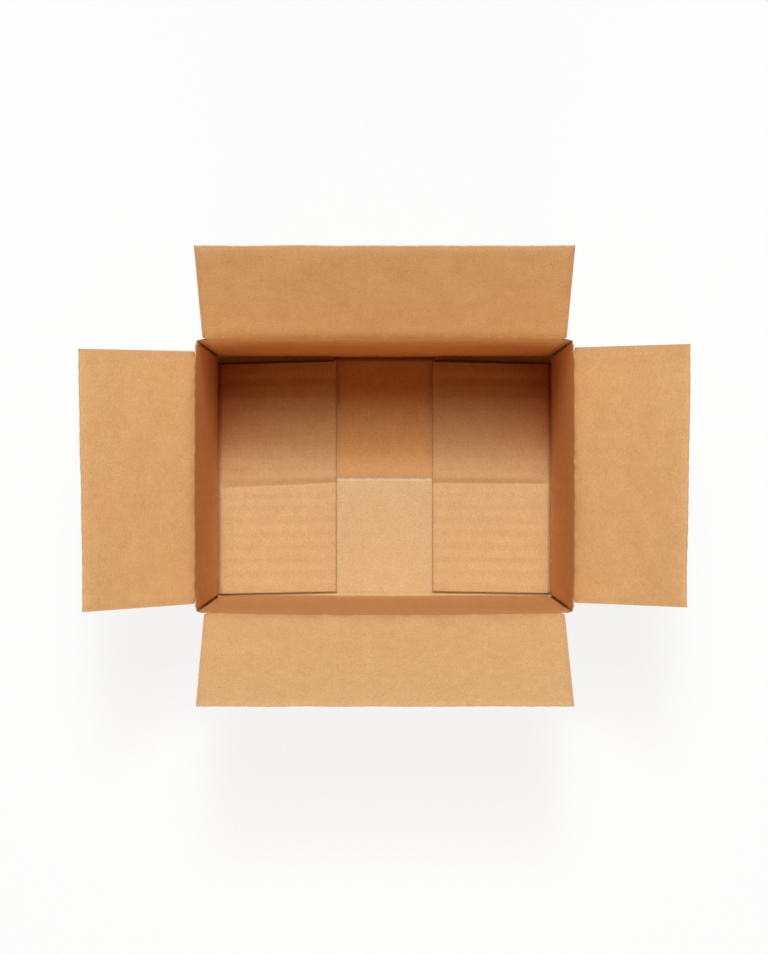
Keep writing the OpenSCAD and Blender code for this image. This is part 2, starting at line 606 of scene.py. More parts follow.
class NodeGraph:
    """Builds one node tree."""

    def __init__(self, tree: bpy.types.NodeTree) -> None:
        """Empties the tree."""
        self.tree = tree
        tree.nodes.clear()

    @staticmethod
    def find(sockets: Any, name: str) -> bpy.types.NodeSocket:
        """Socket of a node by its identifier, or else by its name."""
        exact = [s for s in sockets if s.identifier == name]
        return exact[0] if exact else next(s for s in sockets if s.name == name and s.enabled)

    def add(self, kind: str, settings: dict[str, Any], inputs: dict[str, Any]) -> MadeNode:
        """Adds a node.

        Args:
            kind: The node's type.
            settings: Its properties, which are set first.
            inputs: Values or links of its sockets.

        Returns:
            The new node.
        """
        node = self.tree.nodes.new(kind)
        for name, value in settings.items():
            setattr(node, name, value)
        for name, value in inputs.items():
            socket = self.find(node.inputs, name)
            if isinstance(value, Flow):
                self.tree.links.new(value.socket, socket)
            else:
                socket.default_value = value
        return MadeNode(self, node)

    def mix(self, share: Value, first: Any, second: Any, blend: str = "MIX") -> Flow:
        """Mixes two colours.

        Args:
            share: Share of the second colour.
            first: First colour.
            second: Second colour.
            blend: How they mix.

        Returns:
            The mixed colour.
        """
        pair = [v if isinstance(v, Flow) else (*v, 1.0) for v in (first, second)]
        settings = {"data_type": "RGBA", "blend_type": blend, "clamp_factor": True}
        inputs = {"Factor_Float": share, "A_Color": pair[0], "B_Color": pair[1]}
        return self.add("ShaderNodeMix", settings, inputs)["Result_Color"]

    def vector(self, operation: str, first: Flow, second: Any = (0.0, 0.0, 0.0)) -> MadeNode:
        """Adds a Vector Math node for an operation on two vectors."""
        inputs = {"Vector": first, "Vector_001": second}
        return self.add("ShaderNodeVectorMath", {"operation": operation}, inputs)

    def scale(self, vector: Flow, factors: Factors) -> Flow:
        """Stretches a vector by one factor for each direction."""
        return self.vector("MULTIPLY", vector, factors)["Vector"]

    def flat_place(self) -> Flow:
        """Place on the flat sheet, in metres."""
        return self.add("ShaderNodeUVMap", {"uv_map": FLAT_MAP}, {})["UV"]

    def share(self, name: str) -> Flow:
        """One share of the paper's state."""
        return self.add("ShaderNodeAttribute", {"attribute_name": name}, {})["Fac"]

    def noise(self, place: Flow, layer: NoiseLayer) -> Flow:
        """Noise around zero.

        Args:
            place: Place on the sheet.
            layer: Kind of noise.

        Returns:
            The noise, from about -0.5 to 0.5.
        """
        if layer.stretch is not None:
            place = self.scale(place, layer.stretch)
        inputs = {
            "Vector": place,
            "Scale": layer.scale,
            "Detail": layer.detail,
            "Roughness": layer.roughness,
        }
        made = self.add("ShaderNodeTexNoise", {"noise_dimensions": "3D"}, inputs)
        return made["Fac"] - NOISE_MIDDLE

    def bump(self, strength: float, distance: float, height: Flow) -> Flow:
        """Normal of a surface with bumps of a strength and a full height in metres."""
        inputs = {"Strength": strength, "Distance": distance, "Height": height}
        return self.add("ShaderNodeBump", {}, inputs)["Normal"]

    def dress(self, inputs: dict[str, Any]) -> None:
        """Ends the tree with one plain surface."""
        surface = self.add("ShaderNodeBsdfPrincipled", {}, inputs)["BSDF"]
        self.add("ShaderNodeOutputMaterial", {}, {"Surface": surface})


def new_finish(name: str) -> tuple[bpy.types.Material, NodeGraph]:
    """Starts a material.

    Args:
        name: Name of the material.

    Returns:
        The material and the graph that builds its nodes.
    """
    material = bpy.data.materials.new(name)
    material.use_nodes = True
    return material, NodeGraph(material.node_tree)


@dataclass(frozen=True)
class FleckKind:
    """Scattered fibre flecks of one colour.

    Attributes:
        colour: Colour of the flecks.
        cells: Cells in one metre along and across the fibres.
        rarity: Share of the cells that stay empty.
        size: Radius of a fleck, in cells.
        cover: Share of the colour in a fleck.
        core: Share of the radius that the colour fills.
        fray: How uneven a fleck's outline is, in cells.
    """

    colour: Colour
    cells: Factors
    rarity: float
    size: float
    cover: float
    core: float = 0.4
    fray: float = 0.12

    def mask(self, graph: NodeGraph, place: Flow, stray: Flow) -> Flow:
        """Mask of the flecks.

        Args:
            graph: The material's graph.
            place: Place on the sheet.
            stray: Noise that makes the flecks' outlines uneven.

        Returns:
            The mask, 1 in a fleck.
        """
        inputs = {"Vector": graph.scale(place, self.cells), "Scale": 1.0}
        cell = graph.add("ShaderNodeTexVoronoi", {"voronoi_dimensions": "2D"}, inputs)
        channels = graph.add("ShaderNodeSeparateColor", {}, {"Color": cell["Color"]})
        away = (cell["Distance"] + stray * self.fray).between(self.core * self.size, self.size)
        return (channels["Red"] > self.rarity) * (1.0 - away) * channels["Green"]


@dataclass(frozen=True)
class KraftFinish:
    """Matt brown kraft board.

    Attributes:
        liner: Colour of the liners.
        dark: Colour of darker pulp.
        medium: Colour of the fluted medium.
        worn: Colour of paper that is broken open along a crease; on a ridge it also paints a
            highlight.
        scored_and_shaded: Colour of paper that a score has pressed dark, and of painted shade.
        warm_shade_tint: Colour of the painted shade in the corners of the inside.
        low_tint: Factors of the darkest tint.
        high_tint: Factors of the palest tint.
        flecks: Fibre flecks, dark and pale.
        mottle: Strength of the mottled pulp.
        cloud: Wide clouds of darker pulp.
        blotch: Smaller blotches of darker pulp.
        pulp: Mottled pulp.
        fibre: Fibres that lie along the sheet.
        speckle: Fine speckles.
        grain: Finest grain.
        streak: Faint streaks along the flutes.
        stray: Unevenness of the flecks' outlines.
        cloud_share: Weights of the clouds and the blotches, and the share of darker pulp without.
        crease_share: Cover of a worn crease and its painted highlight, and how far its fibres fray.
        score_fray: How far the fibres fray a score and the painted shade.
        bump: Strength and height of the relief.
        roughness: Roughness, and how far the fibres change it.
        gloss: Level of the gloss.
    """

    liner: Colour = (0.755, 0.417, 0.181)
    dark: Colour = (0.681, 0.355, 0.144)
    medium: Colour = (0.66, 0.40, 0.19)
    worn: Colour = (0.80, 0.52, 0.29)
    scored_and_shaded: Colour = (0.26, 0.095, 0.035)
    warm_shade_tint: Colour = (0.52, 0.13, 0.03)
    low_tint: Factors = (0.62, 0.475, 0.30)
    high_tint: Factors = (1.38, 1.525, 1.70)
    flecks: tuple[FleckKind, ...] = (
        FleckKind((0.33, 0.15, 0.06), (95.0, 160.0, 1.0), 0.92, 0.10, 0.32),
        FleckKind((0.85, 0.66, 0.46), (130.0, 150.0, 3.0), 0.95, 0.09, 0.4),
    )
    mottle: float = 0.44
    cloud: NoiseLayer = NoiseLayer(55.0, 4.0, 0.6)
    blotch: NoiseLayer = NoiseLayer(180.0, 3.0, 0.6, relief=0.5)
    pulp: NoiseLayer = NoiseLayer(85.0, 5.0, 1.0)
    fibre: NoiseLayer = NoiseLayer(1.0, 4.0, 0.65, (420.0, 1500.0, 1.0), tint=0.26, relief=0.6)
    speckle: NoiseLayer = NoiseLayer(950.0, 3.0, 0.8, tint=0.7)
    grain: NoiseLayer = NoiseLayer(2600.0, 2.0, tint=0.24, relief=0.4)
    streak: NoiseLayer = NoiseLayer(1.0, 3.0, 0.8, (170.0, 7.0, 1.0), tint=0.07)
    stray: NoiseLayer = NoiseLayer(900.0, 1.0)
    cloud_share: tuple[float, float, float] = (0.8, 0.9, 0.3)
    crease_share: tuple[float, float] = (0.45, 1.2)
    score_fray: float = 0.8
    bump: tuple[float, float] = (0.22, 0.00035)
    roughness: tuple[float, float] = (0.82, 0.16)
    gloss: float = 0.28

    def make(self, name: str) -> bpy.types.Material:
        """Builds the material.

        Args:
            name: Name of the material.

        Returns:
            The material.
        """
        material, graph = new_finish(name)
        place = graph.flat_place()
        fibre, grain = graph.noise(place, self.fibre), graph.noise(place, self.grain)
        blotch = graph.noise(place, self.blotch)
        colour = self._paper(graph, place, blotch, fibre)
        layers = (
            (graph.noise(place, self.pulp), self.mottle),
            (fibre, self.fibre.tint),
            (graph.noise(place, self.speckle), self.speckle.tint),
            (grain, self.grain.tint),
            (graph.noise(place, self.streak), self.streak.tint),
        )
        amount: Value = NOISE_MIDDLE
        for layer, weight in layers:
            amount = amount + layer * weight
        tint = graph.mix(amount, self.low_tint, self.high_tint)
        relief = fibre * self.fibre.relief + grain * self.grain.relief
        relief = relief + blotch * self.blotch.relief
        inputs = {
            "Base Color": graph.mix(1.0, colour, tint, "MULTIPLY"),
            "Roughness": self.roughness[0] + fibre * self.roughness[1],
            "Specular IOR Level": self.gloss,
            "Normal": graph.bump(*self.bump, relief),
        }
        graph.dress(inputs)
        return material

    def _paper(self, graph: NodeGraph, place: Flow, blotch: Flow, fibre: Flow) -> Flow:
        """Colour of the paper before its tint.

        Args:
            graph: The material's graph.
            place: Place on the sheet.
            blotch: Noise of the darker pulp's blotches.
            fibre: Noise of the fibres.

        Returns:
            The colour.
        """
        cloud, stray = graph.noise(place, self.cloud), graph.noise(place, self.stray)
        cloudy = cloud * self.cloud_share[0] + blotch * self.cloud_share[1] + self.cloud_share[2]
        colour = graph.mix(cloudy.between(0.0, 1.0), self.liner, self.dark)
        frayed = self.crease_share[0] + fibre * self.crease_share[1]
        # crease wear; on the top flaps' ridges it also paints a highlight
        colour = graph.mix(graph.share("crease") * frayed, colour, self.worn)
        for kind in self.flecks:
            colour = graph.mix(kind.mask(graph, place, stray) * kind.cover, colour, kind.colour)
        colour = graph.mix(graph.share("medium"), colour, self.medium)
        # warm painted shade in the inside's rear corners
        colour = graph.mix(graph.share("corner_warm_shade"), colour, self.warm_shade_tint)
        # pressed scores, and painted shade in folds, at edges and to the rear of the floor
        pressed = graph.share("score") * (1.0 + fibre * self.score_fray)
        return graph.mix(pressed, colour, self.scored_and_shaded)


@dataclass(frozen=True)
class TapeFinish:
    """Thin clear packing tape.

    Attributes:
        film: Colour of the film.
        haze: Colour of the film where its glue is thicker.
        cover: Cover of the film over what lies under it, and how far bubbles change it.
        bubble: Bubbles and wrinkles under the film.
        cloud: Clouds of thicker glue.
        cloud_range: Noise at which the glue starts to thicken and is thickest.
        bump: Strength and height of the bubbles.
        roughness: Roughness, and how far bubbles change it.
        gloss: Level of the gloss.
    """

    film: Colour = (1.0, 0.57, 0.22)
    haze: Colour = (0.95, 0.55, 0.21)
    cover: tuple[float, float] = (0.22, 0.2)
    bubble: NoiseLayer = NoiseLayer(1.0, 3.0, stretch=(140.0, 260.0, 1.0))
    cloud: NoiseLayer = NoiseLayer(40.0, 2.0)
    cloud_range: tuple[float, float] = (0.2, 0.9)
    bump: tuple[float, float] = (0.25, 0.0003)
    roughness: tuple[float, float] = (0.22, 0.12)
    gloss: float = 0.15

    def make(self, name: str) -> bpy.types.Material:
        """Builds the material.

        Args:
            name: Name of the material.

        Returns:
            The material.
        """
        material, graph = new_finish(name)
        place = graph.flat_place()
        bubble = graph.noise(place, self.bubble)
        thick = (graph.noise(place, self.cloud) + NOISE_MIDDLE).between(*self.cloud_range)
        inputs = {
            "Base Color": graph.mix(thick, self.film, self.haze),
            "Roughness": self.roughness[0] + bubble * self.roughness[1],
            "Specular IOR Level": self.gloss,
            "Alpha": self.cover[0] + bubble * self.cover[1],
            "Normal": graph.bump(*self.bump, bubble),
        }
        graph.dress(inputs)
        return material


@dataclass
class WallTube:
    """Four walls round the carton between the slots, with upright corner folds.

    Attributes:
        sizes: Sizes of the carton.
        grade: Board that it is made of.
        corner_r: Outside radius of the upright folds.
        bead_r: Inside radius of the upright folds.
        corner_steps: Straight pieces in an upright fold.
        plan: Mesh rows from the foot to the slots' ends.
        groove: Depth of the groove in an upright fold.
        score_depth: Depth of the pressed score beside an upright fold.
        score_place: Distance of that score from the fold.
        recess: Depth of the open flutes at the slots' ends.
        slot_dip: How far a slot's end dips at the corner.
        wear: Share of worn paper at a corner.
        fold_tone: Share of painted shade in an upright fold, and in the score beside it.
        foot_shade: Share of painted shade at the end walls' foot.
        rear_tone: Share of painted shade at the rear wall's ends.
        shade_tone: Share of painted shade at the end walls' rear, and how far it reaches.
        rim_tone: Share of dark paper in the slots' ends.
    """

    CORNER_COLUMNS = (
        *(6.3, 5.2, 4.2, 3.5, 3.1, 2.7, 2.3),
        *(1.9, 1.6, 1.3, 1.05, 0.85, 0.65, 0.5),
    )
    CORNER_RUN = 7.2
    OUTER_RUN = 8.0
    GROOVE_REACH = 0.65
    GROOVE_LOSS = 0.85
    SCORE_REACH = 0.5
    FLAT_EASE = (5.0, 5.0)
    CRUSH_EASE = (5.0, 9.0)
    DIP_RUN = 4.0
    SLOT_REACH = 9.0
    SLOT_COLUMNS = 60
    MEDIUM_EDGE = (0.25, 0.2)
    DENT_SEED = 3
    DENT = (0.2, 70.0)
    CALM_RUN = 30.0
    OUTER_SHIFT = 900.0
    REAR_EASE = (2.4, 1.2)
    SHADE_RISE = (10.0, 165.0)

    sizes: CartonSizes
    grade: BoardGrade
    corner_r: float = 4.0
    bead_r: float = 0.4
    corner_steps: int = 4
    plan: RowPlan = RowPlan((0.0, 0.004, 0.02), 0.05, 26)
    groove: float = 1.5
    score_depth: float = 0.35
    score_place: float = 2.7
    recess: float = 7.0
    slot_dip: float = 9.0
    wear: Fade = Fade(0.1, 2.0)
    fold_tone: tuple[float, float] = (0.75, 0.45)
    foot_shade: Fade = Fade(0.75, 1.3)
    rear_tone: float = 0.3
    shade_tone: tuple[float, float] = (0.6, 80.0)
    rim_tone: float = 0.4

    def _columns(self) -> dict[str, np.ndarray]:
        """Places of the inner and outer face all round the walls.

        Returns:
            Arrays with one row for each column: inner and outer place, turn of its side, place
            along that side, distance to the corner and girth.
        """
        table: list[tuple[Any, ...]] = []
        girth = 0.0
        for side in Side:
            span, depth = self.sizes.half_span(side), self.sizes.half_depth(side)
            close = span - np.array([*self.CORNER_COLUMNS, self.bead_r])
            plain = self.grade.columns(2 * (span - self.CORNER_RUN))
            for w in np.concatenate([-close[::-1], plain, close]):
                past = max(abs(w) - span + self.OUTER_RUN, 0) / (self.OUTER_RUN - self.bead_r)
                stretch = w + math.copysign(past * self.bead_r, w)
                face = side.place(np.array([depth, w, 0.0]))
                outer = side.place(np.array([depth + self.grade.thickness, stretch, 0.0]))
                table.append((face, outer, side.value, w, span - abs(w), girth + w + span))
            girth += 2 * span
            for k in range(1, self.corner_steps):
                angle = math.radians(90.0 * k / self.corner_steps)
                turned = np.array([math.cos(angle), math.sin(angle), 0.0])
                middle = np.array([depth - self.bead_r, span - self.bead_r, 0.0])
                bead = side.place(middle + self.bead_r * turned)
                bend = side.place(np.array([depth, span, 0.0]) + self.corner_r * turned)
                way = girth + k - self.corner_steps / 2
                table.append((bead, bend, side.value, span, 0.0, way))
        names = ("inner", "outer", "turn", "along", "corner", "girth")
        return {name: np.array(column, float) for name, column in zip(names, zip(*table))}

    def _pressed(self, cols: dict[str, np.ndarray]) -> tuple[np.ndarray, np.ndarray]:
        """Pressed lines of the upright folds.

        Args:
            cols: Columns of the walls.

        Returns:
            Shares of a fold's groove and of the score beside it, in each column.
        """
        beside = bell(cols["corner"] - self.score_place, self.SCORE_REACH)
        at_rear = cols["turn"] == Side.REAR.value
        return bell(cols["corner"], self.GROOVE_REACH), beside * at_rear

    def _faces(
        self, cols: dict[str, np.ndarray], foot: np.ndarray, top: np.ndarray
    ) -> tuple[list[np.ndarray], list[np.ndarray]]:
        """Rows of points up the two faces of the walls.

        Args:
            cols: Columns of the walls.
            foot: Height of each column's lower end.
            top: Height of each column's upper end.

        Returns:
            Rows of the inner and of the outer face, from the foot to the top.
        """
        across = cols["outer"] - cols["inner"]
        across /= np.linalg.norm(across, axis=-1, keepdims=True)
        along, corner, nil = cols["along"], cols["corner"], np.zeros(len(foot))
        sides = [Side(int(turn)) for turn in cols["turn"]]
        depth, length = self.DENT
        dents = Unevenness(self.DENT_SEED, length)
        fold, beside = self._pressed(cols)
        flat = rise(corner, *self.FLAT_EASE)
        crushed = self.sizes.crush * (1 - rise(corner, *self.CRUSH_EASE))
        inner_rows, outer_rows = [], []
        for share in self.plan.shares():
            height = foot + (top - foot) * share
            spots = zip(sides, along, height)
            bow = np.array([float(self.sizes.wall_bow(*spot)) for spot in spots])
            calm = smooth_step((top - height) / self.CALM_RUN)
            calm = calm * smooth_step((height - foot) / self.CALM_RUN)
            worn = depth * dents.at(cols["girth"], height) * flat * calm
            near_top = rise(height, *self.sizes.crush_rise)
            score = self.score_depth * beside
            score = score + self.groove * fold * (1 - self.GROOVE_LOSS * near_top)
            push = bow + worn + score + self.grade.inner_sink(along) * flat
            pull = bow + np.minimum(worn - self.grade.outer_sink(along) * flat, -HAIR)
            pull -= crushed * near_top
            lift = np.stack([nil, nil, height], axis=-1)
            inner_rows.append(cols["inner"] + across * push[:, None] + lift)
            outer_rows.append(cols["outer"] + across * pull[:, None] + lift)
        return inner_rows, outer_rows

    def _painted_shade(
        self, cols: dict[str, np.ndarray], height: np.ndarray, foot: np.ndarray
    ) -> np.ndarray:
        """Share of painted shade on the inner face: in folds, at the foot and near the rear
        corners.

        Args:
            cols: Columns of the walls.
            height: Heights on the face, by row and column.
            foot: Height of each column's lower end.

        Returns:
            The share for each row and column.
        """
        fold, beside = self._pressed(cols)
        at_foot = self.foot_shade.at(height - foot) * self._ends(cols)
        shade = self.shade_tone[0] * (1 - rise(cols["corner"], 0.0, self.shade_tone[1]))
        shade = shade * (cols["inner"][:, 1] > 0) * (1 - rise(height, *self.SHADE_RISE))
        rear = self.rear_tone * (1 - rise(cols["corner"], *self.REAR_EASE))
        at_rear = np.where(cols["turn"] == Side.REAR.value, rear, shade)
        in_fold = self.fold_tone[0] * fold + self.fold_tone[1] * beside
        return np.maximum(np.maximum(in_fold, at_rear), at_foot)

    def build(self, finish: bpy.types.Material) -> bpy.types.Object:
        """Makes the walls.

        Args:
            finish: Finish of the board.

        Returns:
            The piece, which rides on the walls' body.
        """
        cols = self._columns()
        foot = self._feet(cols)
        dip = self.slot_dip * (1 - rise(cols["corner"], 0.0, self.DIP_RUN))
        inner_rows, outer_rows = self._faces(cols, foot, self.sizes.slot_end - dip)
        inside = len(inner_rows)
        loop = inner_rows + self._rim(inner_rows[-1], outer_rows[-1], -1.0)
        loop += outer_rows[::-1] + self._rim(outer_rows[0], inner_rows[0], 1.0)
        ring = np.stack(loop)
        rows, count = ring.shape[:2]
        grid = np.arange(rows * count).reshape(rows, count)
        ahead = np.roll(grid, -1, axis=1)
        above = np.roll(grid, -1, axis=0)
        faces = np.stack([grid, above, np.roll(above, -1, axis=1), ahead], axis=-1).reshape(-1, 4)
        place = paired(cols["girth"], ring[..., 2])
        place[inside:, :, 0] += self.OUTER_SHIFT
        wear = self.wear.at(cols["corner"])
        hollow = np.zeros((rows, count))
        hollow[inside + 1 : inside + 3] = 1.0
        hollow[-3:-1] = 1.0
        dark = np.zeros((rows, count))
        # painted shade in the folds, at the foot and near the rear corners
        dark[:inside] = self._painted_shade(cols, ring[:inside, :, 2], foot)
        dark[inside : inside + 4] = self.rim_tone
        mesh = BoardMesh("wall_tube")
        mesh.add(ring, faces, place, Paper(hollow, np.broadcast_to(wear, (rows, count)), dark))
        near = cols["corner"] < self.SLOT_REACH
        for start in np.flatnonzero(near & ~np.roll(near, 1)):
            spots = np.arange(start, start + self.SLOT_COLUMNS) % count
            run = spots[near[spots]]
            self._slot_flutes(mesh, inner_rows[-1][run], outer_rows[-1][run])
        piece = mesh.build(finish)
        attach(piece, WALL_BODY)
        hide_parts("carton")
        return piece

    def _ends(self, cols: dict[str, np.ndarray]) -> np.ndarray:
        """True for the columns of the left and right walls."""
        return np.isin(cols["turn"], [Side.LEFT.value, Side.RIGHT.value])

    def _feet(self, cols: dict[str, np.ndarray]) -> np.ndarray:
        """Height of the walls' lower edge.

        Args:
            cols: Columns of the walls.

        Returns:
            The height in each column.
        """
        inside = np.abs(cols["along"]) <= self.sizes.minor_w / 2
        low, high = (
            floor + self.grade.thickness
            for floor in (self.sizes.major_floor, self.sizes.minor_floor)
        )
        return np.where(self._ends(cols) & inside, high, low)

    def _rim(self, first: np.ndarray, last: np.ndarray, down: float) -> list[np.ndarray]:
        """Edge of the board with the hollow between its liners.

        Args:
            first: Points where the edge starts.
            last: Points where it ends.
            down: Direction of the hollow along Z.

        Returns:
            Four rows of points between the two.
        """
        most = 0.4
        width = np.linalg.norm(last - first, axis=-1, keepdims=True)
        part = np.minimum(self.grade.liner / width, most)
        near, far = first + (last - first) * part, last + (first - last) * part
        deep = np.array([0.0, 0.0, down * self.recess])
        return [near, near + deep, far + deep, far]

    def _slot_flutes(self, mesh: BoardMesh, inner: np.ndarray, outer: np.ndarray) -> None:
        """Adds the fluted medium that shows at one slot's end.

        Args:
            mesh: Mesh that the medium is added to.
            inner: Points of the inner face along the slot's end.
            outer: Points of the outer face along the slot's end.
        """
        middle = (inner + outer) / 2
        width = np.linalg.norm(outer - inner, axis=-1)
        across = (outer - inner) / width[:, None]
        room = width / 2 - self.grade.liner - self.grade.medium / 2 - HAIR
        sway = self.grade.wave(travelled(middle)) * np.maximum(room, HAIR)
        edge, gap = self.MEDIUM_EDGE
        faces = []
        for half in (0.5, -0.5):
            line = middle + across * (sway + half * self.grade.medium)[:, None]
            faces.append(np.stack([line + [0, 0, -edge], line + [0, 0, -self.recess + gap]]))
        place = paired(np.arange(len(middle)) * 1.0, np.array([[0.0], [6.0]]))
        mesh.sheet(*faces, place, Paper(medium=1.0))


@dataclass
class TopFlap:
    """A top flap with the head of its wall, one sheet across a pressed crease.

    Attributes:
        sizes: Sizes of the carton.
        grade: Board that it is made of.
        side: Side of the carton.
        lean: Lean from upright, in degrees.
        crush: Depth to which the score presses the inner liner.
        crush_run: Length over which the pressed liner rises to the flap's face.
        twist: How far the tip's front end is lifted off its flat plane.
        trim: What the two sides are cut back by, at the fold and at the tip of each.
        seed: Seed of the flap's unevenness.
        fold_depth: Depth of the turning line under the outer face.
        side_pinch: How far the cut sides press each liner in.
        tip_pinch: How far the cut tip presses the inner and the outer liner in.
        root_pinch: How far the outer liner is crushed where the flap's root meets a slot.
        spare: Length of the tip past the flap's nominal length.
        ridge_wear_and_highlight: Share of worn paper along the crease, which also paints a
            highlight on the ridge.
        tip_wear: Share of worn paper at the tip.
        side_wear: Share of worn paper at the sides.
        ridge_step: Distance between the mesh rows along the crease.
        ridge_passes: Number of passes that round the crease.
        turn_half: Half the height over which the crease would bend; it is not used.
    """

    TWIST_POWER = 1.5
    TRIM_REACH = 34.0
    TIP_REACH = 2.2
    ROOT_RUN = 10.0
    ROOT_EASE = (-4.0, 16.0)
    RIDGE_REACH = 1.6
    OUTER_WEAR = 0.6
    DENT = (0.22, 46.0)
    SETTLE_RUN = 14.0
    RIPPLE = (9.0, 0.5)
    RIPPLE_SEED = 40
    SCALLOP = (0.14, 0.2, 3.0)
    SHEET_SHIFT = 400.0
    RIDGE_ROWS = 7
    RIDGE_ROUND = 4.0
    ROOT_ROWS = (5.2, 6.4, 7.8, 9.4, 11.4)
    BLADE_ROWS = (19, 14.0, 2.4)
    TIP_ROWS = (1.6, 0.9, 0.4, 0.0)
    MEDIUM_GAP = (0.03, 0.12)

    sizes: CartonSizes
    grade: BoardGrade
    side: Side
    lean: float
    crush: float = 1.25
    crush_run: float = 9.0
    twist: float = 0.0
    trim: tuple[float, float, float, float] = (0.0, 0.0, 0.0, 0.0)
    seed: int = 1
    fold_depth: float = 0.6
    side_pinch: Fade = Fade(0.9, 1.7)
    tip_pinch: tuple[float, float] = (0.5, 2.55)
    root_pinch: float = 2.6
    spare: float = 0.0
    ridge_wear_and_highlight: float = 0.4
    tip_wear: Fade = Fade(0.35, 0.9)
    side_wear: Fade = Fade(0.25, 0.9)
    ridge_step: float = 0.6
    ridge_passes: int = 3
    turn_half: float = 5.0

    @property
    def head(self) -> float:
        """Height of the wall's head under the turning line."""
        return self.sizes.axis(self.side)[1] - self.sizes.slot_end

    def _rows(self) -> np.ndarray:
        """Places of the mesh rows.

        Returns:
            The places along the sheet, zero on the crease.
        """
        ridge = np.arange(-self.RIDGE_ROWS, self.RIDGE_ROWS + 1) * self.ridge_step
        wall = np.linspace(-self.head, ridge[0], 6 if self.sizes.is_long(self.side) else 3)[:-1]
        count, first, last = self.BLADE_ROWS
        blade = np.linspace(first, self.sizes.flap_l - last, count)
        tip = self.sizes.flap_l + self.spare - np.array(self.TIP_ROWS)
        return np.concatenate([wall, ridge, self.ROOT_ROWS, blade, tip])

    def _path(self, inset: float, press: np.ndarray, rows: np.ndarray) -> np.ndarray:
        """Run of one layer up the wall, over the crease and along the leaning flap.

        Args:
            inset: Distance of the layer inward of the turning line.
            press: Depth to which the score presses the layer at each row.
            rows: Places along the sheet.

        Returns:
            Outward and upward places from the turning line.
        """
        lean = math.radians(self.lean)
        head, sunk = -rows[0], press[np.flatnonzero(rows >= 0)[0]]
        low = -inset * math.tan(lean / 2) - sunk / math.tan(lean)
        ridge = (inset - sunk) * math.sin(lean) + low * math.cos(lean)
        wall = paired(-inset, -head + (rows + head) / head * (ridge + head))
        up = low + rows * (1 - low / self.sizes.flap_l)
        out = press - inset
        blade = paired(
            out * math.cos(lean) + up * math.sin(lean),
            up * math.cos(lean) - out * math.sin(lean),
        )
        path = np.where((rows < 0)[:, None], wall, blade)
        turn = np.flatnonzero(np.abs(rows) < self.RIDGE_ROUND)
        for _ in range(self.ridge_passes):
            path[turn] = (path[turn - 1] + 2 * path[turn] + path[turn + 1]) / 4
        return path

    def _across(self, rows: np.ndarray, along: np.ndarray) -> np.ndarray:
        """Places across the flap after its sides are trimmed.

        Args:
            rows: Places along the sheet.
            along: Places across the untrimmed flap.

        Returns:
            Places for each row and column.
        """
        reach = np.clip(rows / self.sizes.flap_l, 0, 1)[:, None]
        low = self.trim[0] + (self.trim[1] - self.trim[0]) * reach
        high = self.trim[2] + (self.trim[3] - self.trim[2]) * reach
        edge = self.sizes.flap_w(self.side) / 2
        past = np.abs(along)[None, :] - edge + self.TRIM_REACH
        share = np.clip(past / self.TRIM_REACH, 0, 1)
        return along[None, :] + share * np.where(along[None, :] < 0, low, -high)

    def _surface(
        self,
        inset: float,
        press: np.ndarray,
        rows: np.ndarray,
        along: np.ndarray,
        lift: np.ndarray,
    ) -> np.ndarray:
        """Points of one layer.

        Args:
            inset: Distance of the layer inward of the turning line.
            press: Depth to which the score presses the layer at each row.
            rows: Places along the sheet.
            along: Places across the flap.
            lift: Further lift towards the inside, for each row and column.

        Returns:
            Points in the carton's axes, by row and column.
        """
        axis_u, axis_z = self.sizes.axis(self.side)
        path = self._path(inset, press, rows)
        spot = path[:, None, :] + inward_normals(path)[:, None, :] * lift[..., None]
        fade = np.clip(1 - rows / self.sizes.flap_l, 0, 1)[:, None]
        w = self._across(rows, along)
        bow = self.sizes.wall_bow(self.side, w, self.sizes.slot_end) * fade
        points = np.stack([axis_u + spot[..., 0] + bow, w, axis_z + spot[..., 1]], axis=-1)
        return self.side.place(points)

    def _pinches(
        self, rows: np.ndarray, edge: np.ndarray, from_tip: np.ndarray
    ) -> tuple[np.ndarray, np.ndarray]:
        """How far the cut edges press the liners in.

        Args:
            rows: Places along the sheet.
            edge: Distance of each column from the nearer side.
            from_tip: Distance of each row from the tip.

        Returns:
            Depths of the inner and of the outer liner, for each row and column.
        """
        at_side, at_tip = self.side_pinch.at(edge), bell(from_tip, self.TIP_REACH)
        inner, outer = (np.maximum(at_side, tip * at_tip) for tip in self.tip_pinch)
        at_root = (1 - rise(edge, 0.0, self.ROOT_RUN)) * (1 - rise(rows[:, None], *self.ROOT_EASE))
        return inner, np.maximum(outer, self.root_pinch * at_root)

    def _warp(self, rows: np.ndarray, along: np.ndarray) -> np.ndarray:
        """Lift of the flap's twist and dents.

        Args:
            rows: Places along the sheet.
            along: Places across the flap.

        Returns:
            The lift for each row and column.
        """
        width = self.sizes.flap_w(self.side)
        depth, length = self.DENT
        dents = depth * Unevenness(self.seed, length).at(along[None, :], rows[:, None])
        reach = np.clip(rows / self.sizes.flap_l, 0, 1)[:, None]
        south = along * {Side.RIGHT: -1.0, Side.LEFT: 1.0}.get(self.side, 0.0)
        twist = self.twist * reach**self.TWIST_POWER
        twist = twist * smooth_step((south[None, :] + width / 2) / width)
        return twist + dents * rise(rows, 0.0, self.SETTLE_RUN)[:, None]

